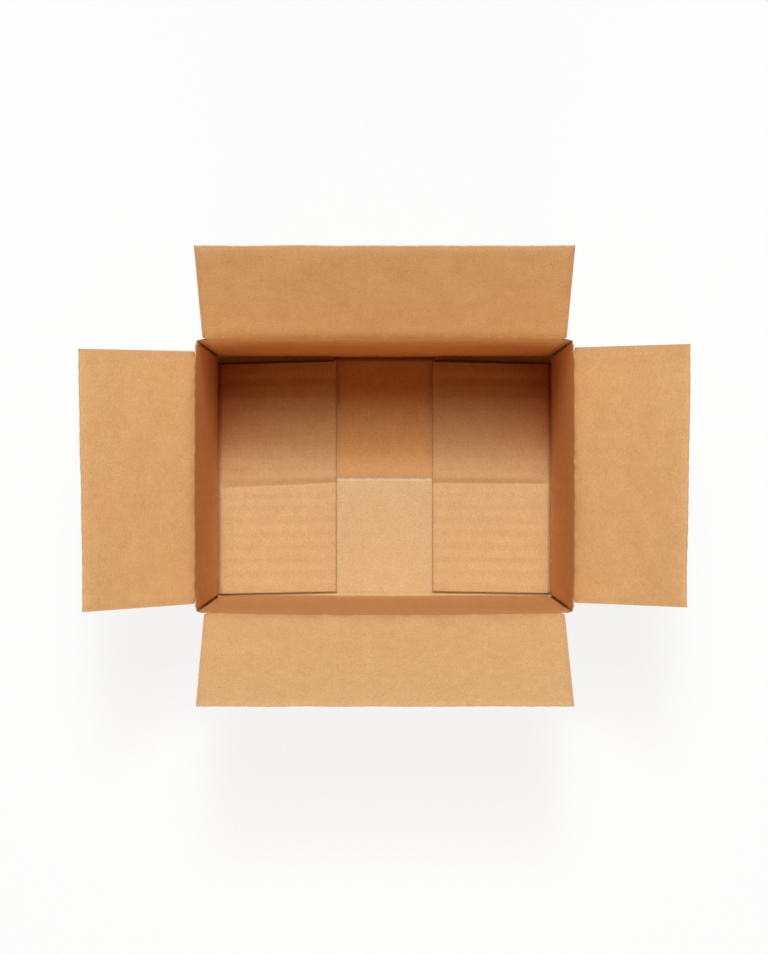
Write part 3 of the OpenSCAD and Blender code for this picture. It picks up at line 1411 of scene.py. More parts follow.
    def build(self, finish: bpy.types.Material) -> bpy.types.Object:
        """Makes the flap.

        Args:
            finish: Finish of the board.

        Returns:
            The piece, baked in place.
        """
        grade, width = self.grade, self.sizes.flap_w(self.side)
        rows, along = self._rows(), grade.columns(width)
        edge = width / 2 - np.abs(along)[None, :]
        from_tip = (rows[-1] - rows)[:, None]
        pinch_in, pinch_out = self._pinches(rows, edge, from_tip)
        press = self.crush * np.clip(1 - rows / self.crush_run, 0, 1) ** 2
        flutes = rise(np.abs(rows), 0.0, self.crush_run)[:, None]
        shared = self._warp(rows, along)
        length, drawn = self.RIPPLE
        waves = Unevenness(self.seed + self.RIPPLE_SEED, length)
        ripple = waves.at(along[None, :], rows[:, None] * drawn)
        fluted, rippled, reach = self.SCALLOP
        scallop = fluted * grade.wave(along)[None, :] + rippled * ripple
        scallop = bell(rows, reach)[:, None] * scallop
        inner_lift = shared + scallop - grade.inner_sink(along)[None, :] * flutes - pinch_in
        outer_lift = shared + grade.outer_sink(along)[None, :] * flutes + pinch_out
        place = paired(along[None, :] + self.seed * self.SHEET_SHIFT, rows[:, None])
        # worn paper along the crease, also a painted highlight on the ridge
        worn = self.ridge_wear_and_highlight * bell(rows, self.RIDGE_REACH)[:, None] * (1.0 + ripple)
        worn = np.clip(worn + self.tip_wear.at(from_tip) + self.side_wear.at(edge), 0, 1)
        mesh = BoardMesh(f"{self.side.flap}_board")
        inner, outer = grade.thickness - self.fold_depth, -self.fold_depth
        insets = (inner, inner - grade.liner)
        layers = [self._surface(inset, press, rows, along, inner_lift) for inset in insets]
        mesh.sheet(*layers, place, Paper(crease=worn))
        insets, flat = (outer, grade.liner + outer), np.zeros_like(rows)
        layers = [self._surface(inset, flat, rows, along, outer_lift) for inset in insets]
        mesh.sheet(*layers, place + [0.0, BACK_SHIFT], Paper(crease=worn * self.OUTER_WEAR))
        lift, pinch = shared + (pinch_out - pinch_in) / 2, (pinch_in + pinch_out) / 2
        self._add_medium(mesh, rows, along, lift, pinch)
        piece = mesh.build(finish)
        self._hang(piece)
        return piece

    def _add_medium(
        self,
        mesh: BoardMesh,
        rows: np.ndarray,
        along: np.ndarray,
        shared: np.ndarray,
        pinch: np.ndarray,
    ) -> None:
        """Adds the fluted medium between the liners.

        Args:
            mesh: Mesh that the medium is added to.
            rows: Places along the sheet.
            along: Places across the flap.
            shared: Lift that the middle of the board has.
            pinch: How far the cut edges press each liner in, on average.
        """
        gap, short = self.MEDIUM_GAP
        keep = medium_rows(rows, self.crush_run, len(self.TIP_ROWS) + 1)
        height = np.maximum(self.grade.wave_height - gap - pinch[keep], 0.0)
        lift = shared[keep] + self.grade.wave(along)[None, :] * height
        trim = rows[keep].copy()
        trim[-1] -= short
        halves = [half * self.grade.medium for half in (0.5, -0.5)]
        faces = [self._medium_face(trim, along, lift + half) for half in halves]
        place = paired(along[None, :], trim[:, None] + MEDIUM_SHIFT)
        mesh.sheet(*faces, place, Paper(medium=1.0))

    def _medium_face(self, rows: np.ndarray, along: np.ndarray, lift: np.ndarray) -> np.ndarray:
        """One face of the medium.

        Args:
            rows: Places along the sheet.
            along: Places across the flap.
            lift: Lift of the wave, for each row and column.

        Returns:
            Points in the carton's axes, by row and column.
        """
        bend = (self.RIDGE_ROWS - 1) * self.ridge_step
        guide = np.array([-self.head, -bend, bend])
        full = np.concatenate([np.zeros((len(guide), len(along))), lift])
        line = np.concatenate([guide, rows])
        middle = self.grade.thickness / 2 - self.fold_depth
        return self._surface(middle, np.zeros_like(line), line, along, full)[len(guide) :]

    def _hang(self, piece: bpy.types.Object) -> None:
        """Bakes the flap's place into its mesh and hides the flap's solid.

        Args:
            piece: The flap's piece.
        """
        axis_u, axis_z = self.sizes.axis(self.side)
        low, high = (
            tuple(self.side.place(np.array([axis_u, 0.0, axis_z + step])) * MM)
            for step in (-self.turn_half, self.turn_half)
        )
        self.side.flap
        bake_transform(piece)
        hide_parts(self.side.flap)


@dataclass
class BottomFlap:
    """A bottom flap with its fold at the wall's foot.

    Attributes:
        sizes: Sizes of the carton.
        grade: Board that it is made of.
        side: Side of the carton.
        tip: Outward place of the flap's tip.
        edges: Places of the flap's two sides at the wall and at the tip of each.
        seam_line: Place along Y of the seam's mark at the wall and at the tip, or none.
        mark_depth: Depth of the seam's mark.
        rear_tone: Share of painted shade to the rear of that mark.
        line_gain: How much deeper than usual the flute lines are pressed.
        fillet: Inside radius of the fold.
        fold_steps: Straight pieces in the fold.
        groove: Depth of the groove along the fold.
        under_edge: Distance from the wall to the edge of the flap that lies on this one, at the
            carton's end and at that flap's tip, or none.
        press: Depth to which the fold presses the board, and how far that reaches.
        side_pinch: How far the cut sides press the liner in.
        tip_pinch: The same for the cut tip.
        dark_fold: Share of painted shade along the groove; under another flap's edge it is that
            flap's shadow.
        bottom_fold_reach: How far that painted shade reaches from the groove.
        cut_edge_shade: Share of painted shade along the cut edges.
        corner_shade_share: Share of warm painted shade at the rear end of the fold.
        seed: Seed of the flap's unevenness.
    """

    SEAM_BAND = (3.0, 6.0)
    SEAM_STEP = 0.3
    MARK_REAR = (5.5, 2)
    MARK_FRONT = (6.5, 1.6)
    MARK_START = 0.1
    REAR_BLEND = (3.0, 0.3)
    FOLD_LEAD = 4.0
    FOLD_ROWS = (0.2, 0.5, 0.8, 1.2, 1.8, 2.4, 3.0, 3.8, 4.6, 6.4)
    BLADE_ROWS = (18, 12.0, 2.4)
    TIP_ROWS = (1.3, 0.5, 0.0)
    GROOVE_PLACE = (0.5, 0.8)
    FLUTE_EASE = (1.0, 9.0)
    LIFT_EASE = (-3.0, 3.0)
    UNDER_PINCH = 0.3
    EDGE_REACH = 0.5
    SIDE_SHARE = 0.7
    WARM_EASE = (16.0, 26.0)
    WARM_LEAST = 0.3
    WARM_RUN = 6.0
    WARM_REACH = 24.0
    DENT = (0.16, 42.0)
    SHEET_SHIFT = (370.0, 520.0)
    MEDIUM_START = 9.0
    MEDIUM_GAP = (0.4, 0.3)
    MEDIUM_SHARE = (0.6, 0.5)

    sizes: CartonSizes
    grade: BoardGrade
    side: Side
    tip: float
    edges: tuple[float, float, float, float]
    seam_line: tuple[float, float] | None = None
    mark_depth: float = 1.8
    rear_tone: float = 0.13
    line_gain: float = 1.0
    fillet: float = 2.2
    fold_steps: int = 8
    groove: float = 1.2
    under_edge: tuple[float, float] | None = None
    press: tuple[float, float] = (0.6, 7.0)
    side_pinch: Fade = Fade(0.6, 1.6)
    tip_pinch: Fade = Fade(0.9, 1.5)
    dark_fold: float = 0.0
    bottom_fold_reach: float = 0.9
    cut_edge_shade: float = 0.0
    corner_shade_share: float = 0.8
    seed: int = 1

    def _paths(self) -> tuple[np.ndarray, np.ndarray, np.ndarray]:
        """Runs of the inner and outer liner from the wall to the tip.

        Returns:
            Inner path, outer path and the distance of each row from the fold.
        """
        depth, under = self.sizes.half_depth(self.side), self.sizes.floor(self.side)
        upper = under + self.grade.thickness
        length = depth - self.tip
        count, first, last = self.BLADE_ROWS
        blade = np.linspace(first, length - last, count)
        close = self.fillet + np.array(self.FOLD_ROWS)
        run = np.concatenate([close, blade, length - np.array(self.TIP_ROWS)])
        centre = (depth - self.fillet, upper + self.fillet)
        inner = arc(centre, self.fillet, 0, -90, self.fold_steps)
        outer = arc((depth, upper), self.grade.thickness, 0, -90, self.fold_steps)
        lead = np.linspace(-self.FOLD_LEAD, 0.9 * self.fillet, self.fold_steps + 1)
        return (
            np.concatenate([inner, paired(depth - run, upper)]),
            np.concatenate([outer, paired(depth - run, under)]),
            np.concatenate([lead, run]),
        )

    def _groove_line(self, along: np.ndarray) -> np.ndarray:
        """Distance from the wall to the groove and its painted shade.

        Args:
            along: Places across the flap.

        Returns:
            The distance in each column.
        """
        if self.under_edge is None:
            return np.full_like(along, self.fillet)
        end = self.sizes.half_span(self.side)
        share = (end - np.abs(along)) / (end - self.sizes.minor_tip)
        line = self.under_edge[0] + (self.under_edge[1] - self.under_edge[0]) * share
        return np.where(share < 1, line, self.fillet)

    def _past_seam(self, share: np.ndarray, along: np.ndarray) -> np.ndarray:
        """Distance to the rear of the seam's mark.

        Args:
            share: Share of the flap's length at each row.
            along: Places across the flap.

        Returns:
            The distance for each row and column, far to the front where there is no mark.
        """
        if self.seam_line is None:
            return np.full((len(share), len(along)), -1000.0)
        line = self.seam_line[0] + (self.seam_line[1] - self.seam_line[0]) * share
        return (along if self.side is Side.RIGHT else -along)[None, :] - line

    def _mark(self, share: np.ndarray, north: np.ndarray) -> np.ndarray:
        """Depth of the mark that the seam below presses into the flap.

        Args:
            share: Share of the flap's length at each row.
            north: Distance to the rear of the mark, for each row and column.

        Returns:
            The depth for each row and column.
        """
        reach, power = self.MARK_REAR
        rear = np.clip(1 - north / reach, 0, 1) ** power
        reach, power = self.MARK_FRONT
        front = np.clip(1 + north / reach, 0, 1) ** power
        depth = self.mark_depth * np.where(north > 0, rear, front)
        return depth * rise(share, 0.0, self.MARK_START)

    def _painted_corner_shade(self, run: np.ndarray, north: np.ndarray) -> np.ndarray:
        """Share of warm painted shade in the inside's rear corners.

        Args:
            run: Distance of each row from the fold.
            north: Distance to the rear of the seam's mark, for each row and column.

        Returns:
            The share for each row and column.
        """
        grown = self.WARM_LEAST + (1 - self.WARM_LEAST) * rise(north, *self.WARM_EASE)
        warm = self.corner_shade_share * (grown * rise(north, 0.0, self.WARM_RUN))
        return warm * np.exp(-np.maximum(run, 0.0) / self.WARM_REACH)[:, None]

    def build(self, finish: bpy.types.Material) -> bpy.types.Object:
        """Makes the flap.

        Args:
            finish: Finish of the board.

        Returns:
            The piece, which rides on the walls' body.
        """
        grade, width = self.grade, self.sizes.flap_w(self.side)
        along = self._dense_columns(width)
        inner, outer, run = self._paths()
        length = run[-1]
        edge, from_tip = width / 2 - np.abs(along)[None, :], (length - run)[:, None]
        share = np.clip(run / length, 0, 1)[:, None]
        north = self._past_seam(share, along)
        mark = self._mark(share, north)
        pinch = np.maximum(self.side_pinch.at(edge), self.tip_pinch.at(from_tip))
        flutes = rise(run, *self.FLUTE_EASE)[:, None]
        press = self.press[0] * np.clip(1 - np.abs(run) / self.press[1], 0, 1)[:, None] ** 2
        from_groove = run[:, None] - self._groove_line(along)[None, :]
        offset, reach = self.GROOVE_PLACE
        press = press + self.groove * bell(from_groove - offset, reach)
        depth, wave = self.DENT
        dents = depth * Unevenness(self.seed, wave).at(along[None, :], run[:, None]) * flutes
        sink = self.line_gain * grade.inner_sink(along)[None, :] * flutes + press + mark
        lower = grade.outer_sink(along)[None, :] * flutes
        past_fold = rise(run, *self.LIFT_EASE)[:, None]
        in_lift = (dents - sink - pinch) * past_fold
        out_lift = (lower + pinch * self.UNDER_PINCH) * past_fold
        shift, start = self.SHEET_SHIFT
        place = paired(along[None, :] + self.seed * shift, run[:, None] + start)
        low, high = (
            self.edges[k] + (self.edges[k + 1] - self.edges[k]) * share for k in (0, 2)
        )
        spread = low + (high - low) * (along[None, :] / width + 0.5)
        # painted shade along the groove, which under the inner flaps follows their shadow, and
        # along the cut edges
        at_fold = self.dark_fold * bell(from_groove, self.bottom_fold_reach)
        at_side = self.SIDE_SHARE * bell(edge, self.EDGE_REACH)
        at_edge = self.cut_edge_shade * np.maximum(bell(from_tip, self.EDGE_REACH), at_side)
        # painted shade over the rear of the seam's mark
        tone = self.rear_tone * smooth_step(north / self.REAR_BLEND[0] + self.REAR_BLEND[1])
        dark = np.maximum(np.maximum(at_fold, at_edge), tone)
        mesh = BoardMesh(f"bottom_{self.side.name.lower()}_flap")
        layers = [self._surface(inner, spread, in_lift, sunk) for sunk in (0.0, grade.liner)]
        mesh.sheet(*layers, place, Paper(score=dark, corner_warm_shade=self._painted_corner_shade(run, north)))
        layers = [self._surface(outer, spread, out_lift, sunk) for sunk in (0.0, -grade.liner)]
        mesh.sheet(*layers, place + [0.0, BACK_SHIFT])
        self._add_medium(mesh, inner, run, along, spread, dents - mark * self.MEDIUM_SHARE[0])
        piece = mesh.build(finish)
        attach(piece, WALL_BODY)
        return piece

    def _dense_columns(self, width: float) -> np.ndarray:
        """Mesh columns across the flap, closer together where the seam's mark runs.

        Args:
            width: Width of the flap.

        Returns:
            Places of the columns, in order.
        """
        along = self.grade.columns(width)
        if self.seam_line is None:
            return along
        sign = 1.0 if self.side is Side.RIGHT else -1.0
        low = min(self.seam_line) - self.SEAM_BAND[0]
        high = max(self.seam_line) + self.SEAM_BAND[1]
        band = np.arange(low, high, self.SEAM_STEP) * sign
        spare = 0.1
        kept = along[(along * sign < low - self.SEAM_STEP) | (along * sign > high + spare)]
        return np.sort(np.concatenate([kept, band]))

    def _surface(
        self, path: np.ndarray, spread: np.ndarray, lift: np.ndarray, sunk: float
    ) -> np.ndarray:
        """Points of one layer.

        Args:
            path: Run of the layer in section.
            spread: Places across the flap at each row and column.
            lift: Lift off that run at each row and column.
            sunk: Depth of the face under the layer's shown face.

        Returns:
            Points in the carton's axes, by row and column.
        """
        normal = -inward_normals(path)
        spot = path[:, None, :] + normal[:, None, :] * (lift - sunk)[..., None]
        return self.side.place(np.stack([spot[..., 0], spread, spot[..., 1]], axis=-1))

    def _add_medium(
        self,
        mesh: BoardMesh,
        inner: np.ndarray,
        run: np.ndarray,
        along: np.ndarray,
        spread: np.ndarray,
        shared: np.ndarray,
    ) -> None:
        """Adds the fluted medium between the liners.

        Args:
            mesh: Mesh that the medium is added to.
            inner: Run of the inner liner in section.
            run: Distance of each row from the fold.
            along: Places across the untrimmed flap.
            spread: Places across the flap at each row and column.
            shared: Lift that the whole board has.
        """
        gap, short = self.MEDIUM_GAP
        keep = medium_rows(run, self.MEDIUM_START, len(self.TIP_ROWS) + 1)
        path = inner[keep] - [0.0, self.grade.thickness / 2]
        path[-1, 0] += short
        sway = self.grade.wave(along)[None, :] * (self.grade.wave_height - gap)
        sway = sway + shared[keep] * self.MEDIUM_SHARE[1]
        half = self.grade.medium / 2
        faces = [self._surface(path, spread[keep], sway, sunk) for sunk in (-half, half)]
        place = paired(along[None, :], run[keep][:, None] + MEDIUM_SHIFT)
        mesh.sheet(*faces, place, Paper(medium=1.0))


@dataclass
class GlueLap:
    """Lap of the rear wall, turned round the corner and glued on the left end wall.

    Attributes:
        sizes: Sizes of the carton.
        grade: Board that it is made of.
        width: Width of the lap.
        thickness: Thickness of the pressed lap.
        inset: Distance of the lap's foot from the end wall's lower fold.
        head_inset: Distance of the lap's head from the end wall's upper fold.
        slope: Slope of the trimmed ends, in degrees.
        plan: Mesh rows from the foot to the head.
        end_press: How far the trimmed ends are pressed in.
        free_press: The same for the free edge.
        thin: How much further than the corner the lap's face is crushed, as a factor.
        lap_end_shade: Share of painted shade along the trimmed ends.
        lap_free_shade: The same for the free edge.
    """

    CLEAR = 0.03
    BEND_STEPS = 8
    LEAD = 0.8
    STEP = 1.3
    LAST_STEP = (0.9, 0.5)
    GROW_RUN = 9.0
    SKIN = 0.3
    FOOT = (0.1, 0.4)
    FLUTE_SHARE = 0.9
    DENT_SEED = 61
    DENT = (0.12, 30.0)
    SINK_RUN = 6.0
    CRUSH_RUN = 9.0
    SHEET_SHIFT = 1500.0

    sizes: CartonSizes
    grade: BoardGrade
    width: float = 32.0
    thickness: float = 1.5
    inset: float = 10.0
    head_inset: float = 15.5
    slope: float = 15.0
    plan: RowPlan = RowPlan((0.0, 0.006, 0.02), 0.06, 22)
    end_press: Fade = Fade(0.5, 1.5)
    free_press: Fade = Fade(0.2, 1.6)
    thin: float = 1.1
    lap_end_shade: Fade = Fade(0.1, 1.2)
    lap_free_shade: Fade = Fade(0.3, 0.9)

    def _outline(self) -> tuple[np.ndarray, np.ndarray]:
        """Runs of the lap in plan.

        Returns:
            Points of its face and of its back, from the rear wall to the free edge.
        """
        board = self.grade.thickness
        left, rear = self.sizes.half_l + board, self.sizes.half_w + board
        free = rear - self.width
        bend = arc((board - left, rear - board), board + self.CLEAR, 90, 180, self.BEND_STEPS)
        last, least = self.LAST_STEP
        run = np.arange(rear - board - self.LEAD, free + last, -self.STEP)
        run = np.concatenate([run, [free + least, free]])
        grown = smooth_step((rear - board - run) / self.GROW_RUN)
        grown = self.CLEAR + (self.thickness - self.CLEAR) * grown
        outer = np.concatenate([bend, paired(-left - grown, run)])
        from_end, from_rear = self.FOOT
        back = np.maximum(outer[:, 0] + self.SKIN, -left + from_end)
        return outer, paired(back, np.minimum(outer[:, 1], rear - from_rear))

    def build(self, finish: bpy.types.Material) -> bpy.types.Object:
        """Makes the lap.

        Args:
            finish: Finish of the board.

        Returns:
            The piece, which rides on the walls' body.
        """
        rear = self.sizes.half_w + self.grade.thickness
        outer, inner = self._outline()
        girth = travelled(outer)
        low = self.sizes.minor_floor + self.grade.thickness + self.inset
        high = self.sizes.minor_axis[1] - self.head_inset
        trim = (rear - outer[:, 1]) * math.tan(math.radians(self.slope))
        share = self.plan.shares()
        height = (low + trim)[None, :] + (high - low - 2 * trim)[None, :] * share[:, None]
        ends = np.minimum(share, 1 - share)[:, None] * (high - low)
        free = (girth[-1] - girth)[None, :]
        press = self.end_press.at(ends) + self.free_press.at(free)
        depth, length = self.DENT
        dents = depth * Unevenness(self.DENT_SEED, length).at(girth[None, :], height)
        sink = self.grade.outer_sink(girth)[None, :] * self.FLUTE_SHARE + press + dents
        sink = np.maximum(sink, 0) * rise(girth, 0.0, self.SINK_RUN)
        normal = -inward_normals(outer)
        spot = outer[None, :, :] + normal[None, :, :] * (-sink)[..., None]
        run = self.CRUSH_RUN
        crushed = self.sizes.crush * (1 - smooth_step((rear - run - outer[:, 1]) / run))
        settle = -normal * (crushed * rise(height, *self.sizes.crush_rise))[..., None]
        front = np.concatenate([spot + settle * self.thin, height[..., None]], axis=-1)
        back = np.concatenate([inner + settle, height[..., None]], axis=-1)
        place = paired(girth[None, :] + self.SHEET_SHIFT, height)
        # painted shade that outlines the lap's edges as a shadow line
        dark = np.maximum(self.lap_end_shade.at(ends), self.lap_free_shade.at(free))
        mesh = BoardMesh("glue_lap")
        mesh.sheet(front, back, place, Paper(score=dark))
        piece = mesh.build(finish)
        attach(piece, WALL_BODY)
        return piece


@dataclass
class SealingTape:
    """Strip of tape along the bottom seam and up both end walls.

    Attributes:
        sizes: Sizes of the carton.
        grade: Board that it lies on.
        width: Width of the tape.
        thickness: Thickness of the tape.
        tail: Height that the ends reach.
        chamfer: Size of the slant across the fold at each end.
        jag: Depth of the torn ends' teeth.
        rows: Mesh rows up one end, across one slant and along the seam.
        columns: Mesh columns across the tape.
    """

    sizes: CartonSizes
    grade: BoardGrade
    width: float = 48.0
    thickness: float = 0.1
    tail: float = 55.0
    chamfer: float = 4.3
    jag: float = 0.35
    rows: tuple[int, int, int] = (21, 6, 81)
    columns: int = 33

    def build(self, finish: bpy.types.Material) -> bpy.types.Object:
        """Makes the tape.

        Args:
            finish: Finish of the film.

        Returns:
            The piece, which rides on the walls' body.
        """
        end = self.sizes.half_l + self.grade.thickness + self.thickness
        cut, (up, slant, seam) = self.chamfer, self.rows
        side = paired(end, np.linspace(self.tail, cut, up))
        cross = paired(np.linspace(end, end - cut, slant), np.linspace(cut, 0.0, slant))[1:-1]
        under = paired(np.linspace(end - cut, -(end - cut), seam), 0.0)
        half = np.concatenate([side, cross])
        path = np.concatenate([half, under, half[::-1] * [-1.0, 1.0]])
        across = np.linspace(-self.width / 2, self.width / 2, self.columns)
        drop = np.zeros((len(path), self.columns))
        drop[[0, -1]] -= self.jag * (np.arange(self.columns) % 2)
        outer = self._face(path, across, drop)
        inner = self._face(path - inward_normals(path) * self.thickness, across, drop)
        mesh = BoardMesh("tape_strip")
        mesh.sheet(outer, inner, paired(across[None, :], travelled(path)[:, None]))
        piece = mesh.build(finish)
        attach(piece, WALL_BODY)
        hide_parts("bottom_tape")
        return piece

    def _face(self, path: np.ndarray, across: np.ndarray, drop: np.ndarray) -> np.ndarray:
        """Points of one face of the tape.

        Args:
            path: Run of the face along X and Z.
            across: Places across the tape.
            drop: How far each point is moved along Z, for the torn ends.

        Returns:
            Points by row and column.
        """
        z = path[:, 1:] + drop
        bow = self.sizes.wall_bow(Side.LEFT, across[None, :], z)
        x = path[:, :1] + np.sign(path[:, :1]) * bow
        return np.stack([x, np.broadcast_to(across, drop.shape), z], axis=-1)


@dataclass(frozen=True)
class Lamp:
    """A round lamp behind or in front of the carton, aimed at its mouth.

    Attributes:
        name: Name of the lamp.
        elevation: Angle over the rear horizon as seen from the mouth, in degrees.
        size: Width of the lamp, in metres.
        power: Power in watts.
        tint: Colour of the light.
    """

    name: str
    elevation: float
    size: float
    power: float
    tint: Colour

    def hang(self, mouth: float, distance: float) -> None:
        """Hangs the lamp.

        Args:
            mouth: Height of the carton's mouth, in metres.
            distance: Distance of the lamp from the mouth, in metres.
        """
        data = bpy.data.lights.new(self.name, "AREA")
        data.shape, data.size, data.energy = "DISK", self.size, self.power
        data.color = self.tint
        lamp = bpy.data.objects.new(self.name, data)
        angle = math.radians(self.elevation)
        aim = distance * Vector((0.0, math.cos(angle), math.sin(angle)))
        lamp.location = Vector((0.0, 0.0, mouth)) + aim
        lamp.rotation_mode = "QUATERNION"
        lamp.rotation_quaternion = (-aim).to_track_quat("-Z", "Y")
        bpy.context.scene.collection.objects.link(lamp)


@dataclass
class Studio:
    """Pale floor, soft lamps and the camera straight above the carton.

    Attributes:
        camera_height: Height of the camera, in metres.
        camera_place: Place of the camera over the floor, in metres.
        lens: Focal length, in mm.
        sensor: Width of the camera's sensor, in mm.
        lamps: The wide and the small lamp at the rear and the low lamp at the front.
        lamp_distance: Distance of each lamp from the carton's mouth, in metres.
        mouth: Height of the carton's mouth, in metres.
        sky: Strength of the light from all round.
        floor_reach: Half the width of the floor, in metres.
        floor_level: Height of the floor, in metres.
        floor_grey: Brightness of the floor.
        floor_white: Share of plain white that the camera sees on the floor.
        footprint: Half the length and width of the floor that the carton covers, in metres.
        corner: Radius of that floor's corners, in metres.
        corner_ease: How far inside and outside its outline the white starts, in metres.
        seam_window: Half sizes, in metres, of the floor that glows as painted light through the
            seam.
        seam_shade: Warm colour of that painted glow under the carton.
    """

    camera_height: float = 1.482
    camera_place: tuple[float, float] = (-0.0003, -0.0005)
    lens: float = 92.8
    sensor: float = 36.0
    lamps: tuple[Lamp, ...] = (
        Lamp("wide_lamp", 74.4, 0.52, 26.4, (1.0, 0.96, 0.85)),
        Lamp("small_lamp", 68.2, 0.23, 17.0, (0.62, 0.80, 1.0)),
        Lamp("front_fill", 150.0, 0.68, 12.6, (1.0, 0.9, 0.75)),
    )
    lamp_distance: float = 2.0
    mouth: float = 0.184
    sky: float = 0.04
    floor_reach: float = 6.0
    floor_level: float = -0.0003
    floor_grey: float = 0.9
    floor_white: float = 0.86
    footprint: tuple[float, float] = (0.104, 0.076)
    corner: float = 0.005
    corner_ease: tuple[float, float] = (0.001, 0.004)
    seam_window: tuple[float, float] = (0.034, 0.006)
    seam_shade: Colour = (1.0, 0.86, 0.70)

    def build(self) -> None:
        """Sets up the floor, the light and the camera."""
        bpy.context.scene.view_settings.view_transform = "Standard"
        self._camera()
        self._floor()
        self._sky()
        for lamp in self.lamps:
            lamp.hang(self.mouth, self.lamp_distance)

    def _camera(self) -> None:
        """Hangs the camera above the middle of the carton."""
        data = bpy.data.cameras.new("overhead_camera")
        data.lens, data.sensor_width = self.lens, self.sensor
        camera = bpy.data.objects.new("overhead_camera", data)
        camera.location = (*self.camera_place, self.camera_height)
        bpy.context.scene.collection.objects.link(camera)
        bpy.context.scene.camera = camera

    def _seen(self, graph: NodeGraph) -> Flow:
        """Mask of the rays that make the picture.

        Args:
            graph: Graph that the mask is added to.

        Returns:
            One for rays from the camera, or that a gloss or a film sends on.
        """
        path = graph.add("ShaderNodeLightPath", {}, {})
        seen = path["Is Camera Ray"] + path["Is Glossy Ray"] + path["Is Transmission Ray"]
        return seen.between(0.0, 1.0)

    def _floor(self) -> None:
        """Lays a wide pale floor under the carton."""
        mesh = bpy.data.meshes.new("studio_floor")
        turns = ((-1, -1), (1, -1), (1, 1), (-1, 1))
        corners = [(x * self.floor_reach, y * self.floor_reach, self.floor_level) for x, y in turns]
        mesh.from_pydata(corners, [], [(0, 1, 2, 3)])
        floor = bpy.data.objects.new("studio_floor", mesh)
        bpy.context.scene.collection.objects.link(floor)
        material, graph = new_finish("pale_floor")
        grey = (self.floor_grey, self.floor_grey, self.floor_grey, 1.0)
        matt = graph.add("ShaderNodeBsdfDiffuse", {}, {"Color": grey})["BSDF"]
        shown, window = self._open_floor(graph)
        # the floor under the seam glows warm as painted light
        shade = graph.mix(window, (1.0, 1.0, 1.0), self.seam_shade)
        inputs = {"Color": shade, "Strength": 1.0}
        plain = graph.add("ShaderNodeEmission", {}, inputs)["Emission"]
        share = self._seen(graph) * shown * self.floor_white
        inputs = {"Fac": share, "Shader": matt, "Shader_001": plain}
        surface = graph.add("ShaderNodeMixShader", {}, inputs)["Shader"]
        graph.add("ShaderNodeOutputMaterial", {}, {"Surface": surface})
        mesh.materials.append(material)

    def _open_floor(self, graph: NodeGraph) -> tuple[Flow, Flow]:
        """Masks of the floor beside the carton.

        Args:
            graph: The floor's graph.

        Returns:
            The floor that is plain white, and the part of it under the seam that glows as painted
            light.
        """
        spot = graph.add("ShaderNodeNewGeometry", {}, {})["Position"]
        flat = graph.vector("ABSOLUTE", graph.scale(spot, (1.0, 1.0, 0.0)))["Vector"]
        inset = (self.footprint[0] - self.corner, self.footprint[1] - self.corner, 0.0)
        beyond = graph.vector("SUBTRACT", flat, inset)["Vector"]
        beyond = graph.vector("MAXIMUM", beyond)["Vector"]
        away = graph.vector("LENGTH", beyond)["Value"]
        reach = graph.add("ShaderNodeSeparateXYZ", {}, {"Vector": flat})
        window = (self.seam_window[0] > reach["X"]) * (self.seam_window[1] > reach["Y"])
        inside, outside = self.corner_ease
        return away.between(self.corner - inside, self.corner + outside) + window, window

    def _sky(self) -> None:
        """Adds weak light from all round, white where the camera sees it."""
        world = bpy.data.worlds.new("studio_sky")
        bpy.context.scene.world = world
        world.use_nodes = True
        graph = NodeGraph(world.node_tree)
        strength = self.sky + self._seen(graph) * (1.0 - self.sky)
        inputs = {"Color": (1.0, 1.0, 1.0, 1.0), "Strength": strength}
        light = graph.add("ShaderNodeBackground", {}, inputs)["Background"]
        graph.add("ShaderNodeOutputWorld", {}, {"Surface": light})


def build_top_flaps(sizes: CartonSizes, grade: BoardGrade) -> None:
    """Builds the four top flaps.

    Args:
        sizes: Sizes of the carton.
        grade: Board that they are made of.
    """
    # the front flap, which faces the lamps, gets a paler copy of the kraft: painted light
    lit_flap_finish = KraftFinish(liner=(0.785, 0.46, 0.206), dark=(0.708, 0.393, 0.167))
    kraft, pale = KraftFinish().make("kraft_board"), lit_flap_finish.make("kraft_board_lit_flap")
    long = {"lean": 34.0}
    front_trim, rear_trim = (0.8, 1.4, 1.0, 0.9), (0.0, 0.4, 0.0, 0.4)
    TopFlap(sizes, grade, Side.FRONT, trim=front_trim, spare=0.1, seed=11, **long).build(pale)
    # the rear flap's crease gets more wear, with a painted highlight along the ridge
    TopFlap(sizes, grade, Side.REAR, trim=rear_trim, ridge_wear_and_highlight=0.8, seed=12, **long).build(kraft)
    ribbed = BoardGrade(washboard=0.26)
    short = {"lean": 43.5, "twist": 3.0, "spare": 1.9, "ridge_wear_and_highlight": 0.15}
    left_trim, right_trim = (2.0, 3.6, 0.4, -0.7), (1.0, 1.7, 0.0, 1.2)
    TopFlap(sizes, ribbed, Side.LEFT, trim=left_trim, seed=13, **short).build(kraft)
    TopFlap(sizes, ribbed, Side.RIGHT, trim=right_trim, seed=14, **short).build(kraft)


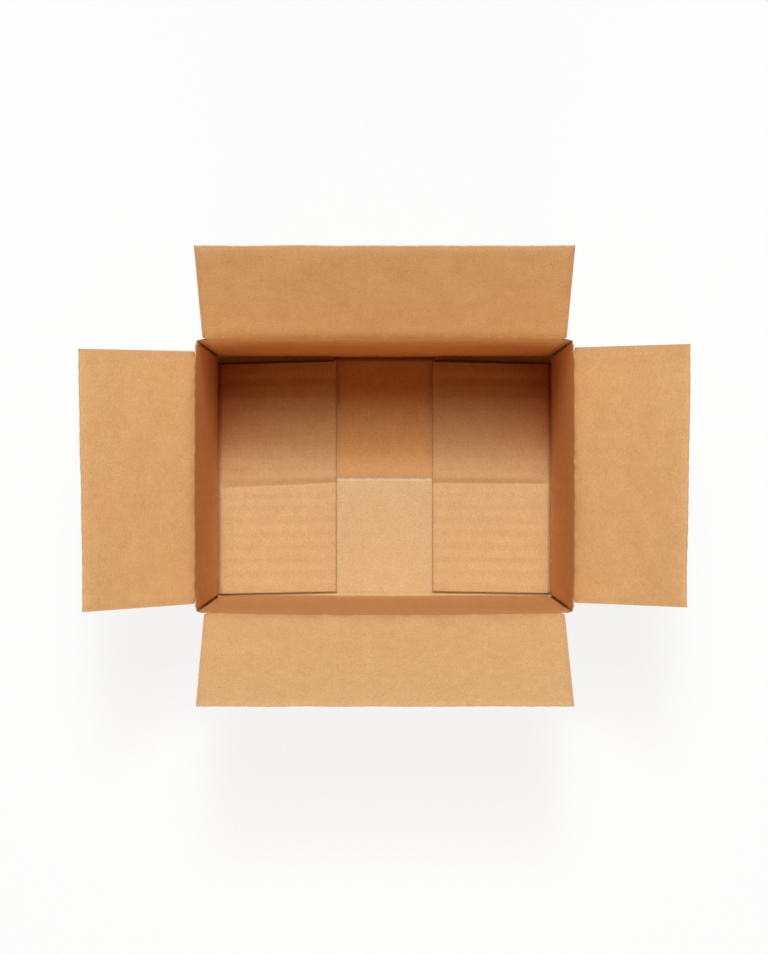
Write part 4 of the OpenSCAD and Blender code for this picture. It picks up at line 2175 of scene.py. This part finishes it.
def build_bottom_flaps(sizes: CartonSizes, grade: BoardGrade) -> None:
    """Builds the four bottom flaps.

    Args:
        sizes: Sizes of the carton.
        grade: Board that they are made of.
    """
    # lit and shaded copies of the floor kraft: the front flap's paler copy is painted light, the
    # rear flap's darker, redder copy painted shade
    front = KraftFinish(liner=(0.72, 0.49, 0.255), dark=(0.658, 0.423, 0.207), mottle=0.12)
    rear = KraftFinish(liner=(0.685, 0.385, 0.158), dark=(0.628, 0.33, 0.128))
    inner = KraftFinish(liner=(0.705, 0.45, 0.218), dark=(0.64, 0.386, 0.175))
    lit_floor_board = front.make("kraft_board_floor_lit")
    shaded_floor_board = rear.make("kraft_board_floor_shaded")
    inner_board = inner.make("kraft_board_floor")
    wide = (-101.5, -98.6, 101.5, 98.6)
    soft = {"fillet": 0.9, "groove": 0.3}
    BottomFlap(sizes, grade, Side.FRONT, 2.45, wide, seed=21, **soft).build(lit_floor_board)
    # the rear flap's dark groove runs under the inner flaps' edges as their painted shadow
    tight = {"fillet": 0.9, "groove": 0.8, "dark_fold": 1.0, "bottom_fold_reach": 1.3}
    tight["under_edge"] = (4.7, 2.9)
    BottomFlap(sizes, grade, Side.REAR, -1.3, wide, seed=22, **tight).build(shaded_floor_board)
    # painted shade along the inner flaps' folds and cut edges
    sharp = {"fillet": 0.35, "line_gain": 3.6, "dark_fold": 0.7, "cut_edge_shade": 0.75}
    left_edges, left_seam = (-66.8, -68.8, 70.6, 69.2), (-5.4, -3.6)
    right_edges, right_seam = (-70.2, -69.0, 67.0, 68.6), (-3.0, -4.0)
    inner_flaps = (
        (Side.LEFT, left_edges, left_seam, 23),
        (Side.RIGHT, right_edges, right_seam, 24),
    )
    for side, edges, seam, seed in inner_flaps:
        flap = BottomFlap(sizes, grade, side, sizes.minor_tip, edges, seam, seed=seed, **sharp)
        flap.build(inner_board)


def main() -> None:
    """Builds the carton's pieces in order."""
    logging.basicConfig(level=logging.INFO, format="%(name)s: %(message)s")
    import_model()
    Studio().build()
    sizes, grade = CartonSizes(), BoardGrade()
    wall_finish = KraftFinish(liner=(0.845, 0.47, 0.188), dark=(0.76, 0.40, 0.149))
    wall = wall_finish.make("kraft_board_wall")
    WallTube(sizes, grade).build(wall)
    build_top_flaps(sizes, grade)
    build_bottom_flaps(sizes, grade)
    GlueLap(sizes, grade).build(wall)
    SealingTape(sizes, grade).build(TapeFinish().make("clear_tape"))


if __name__ == "__main__":
    main()
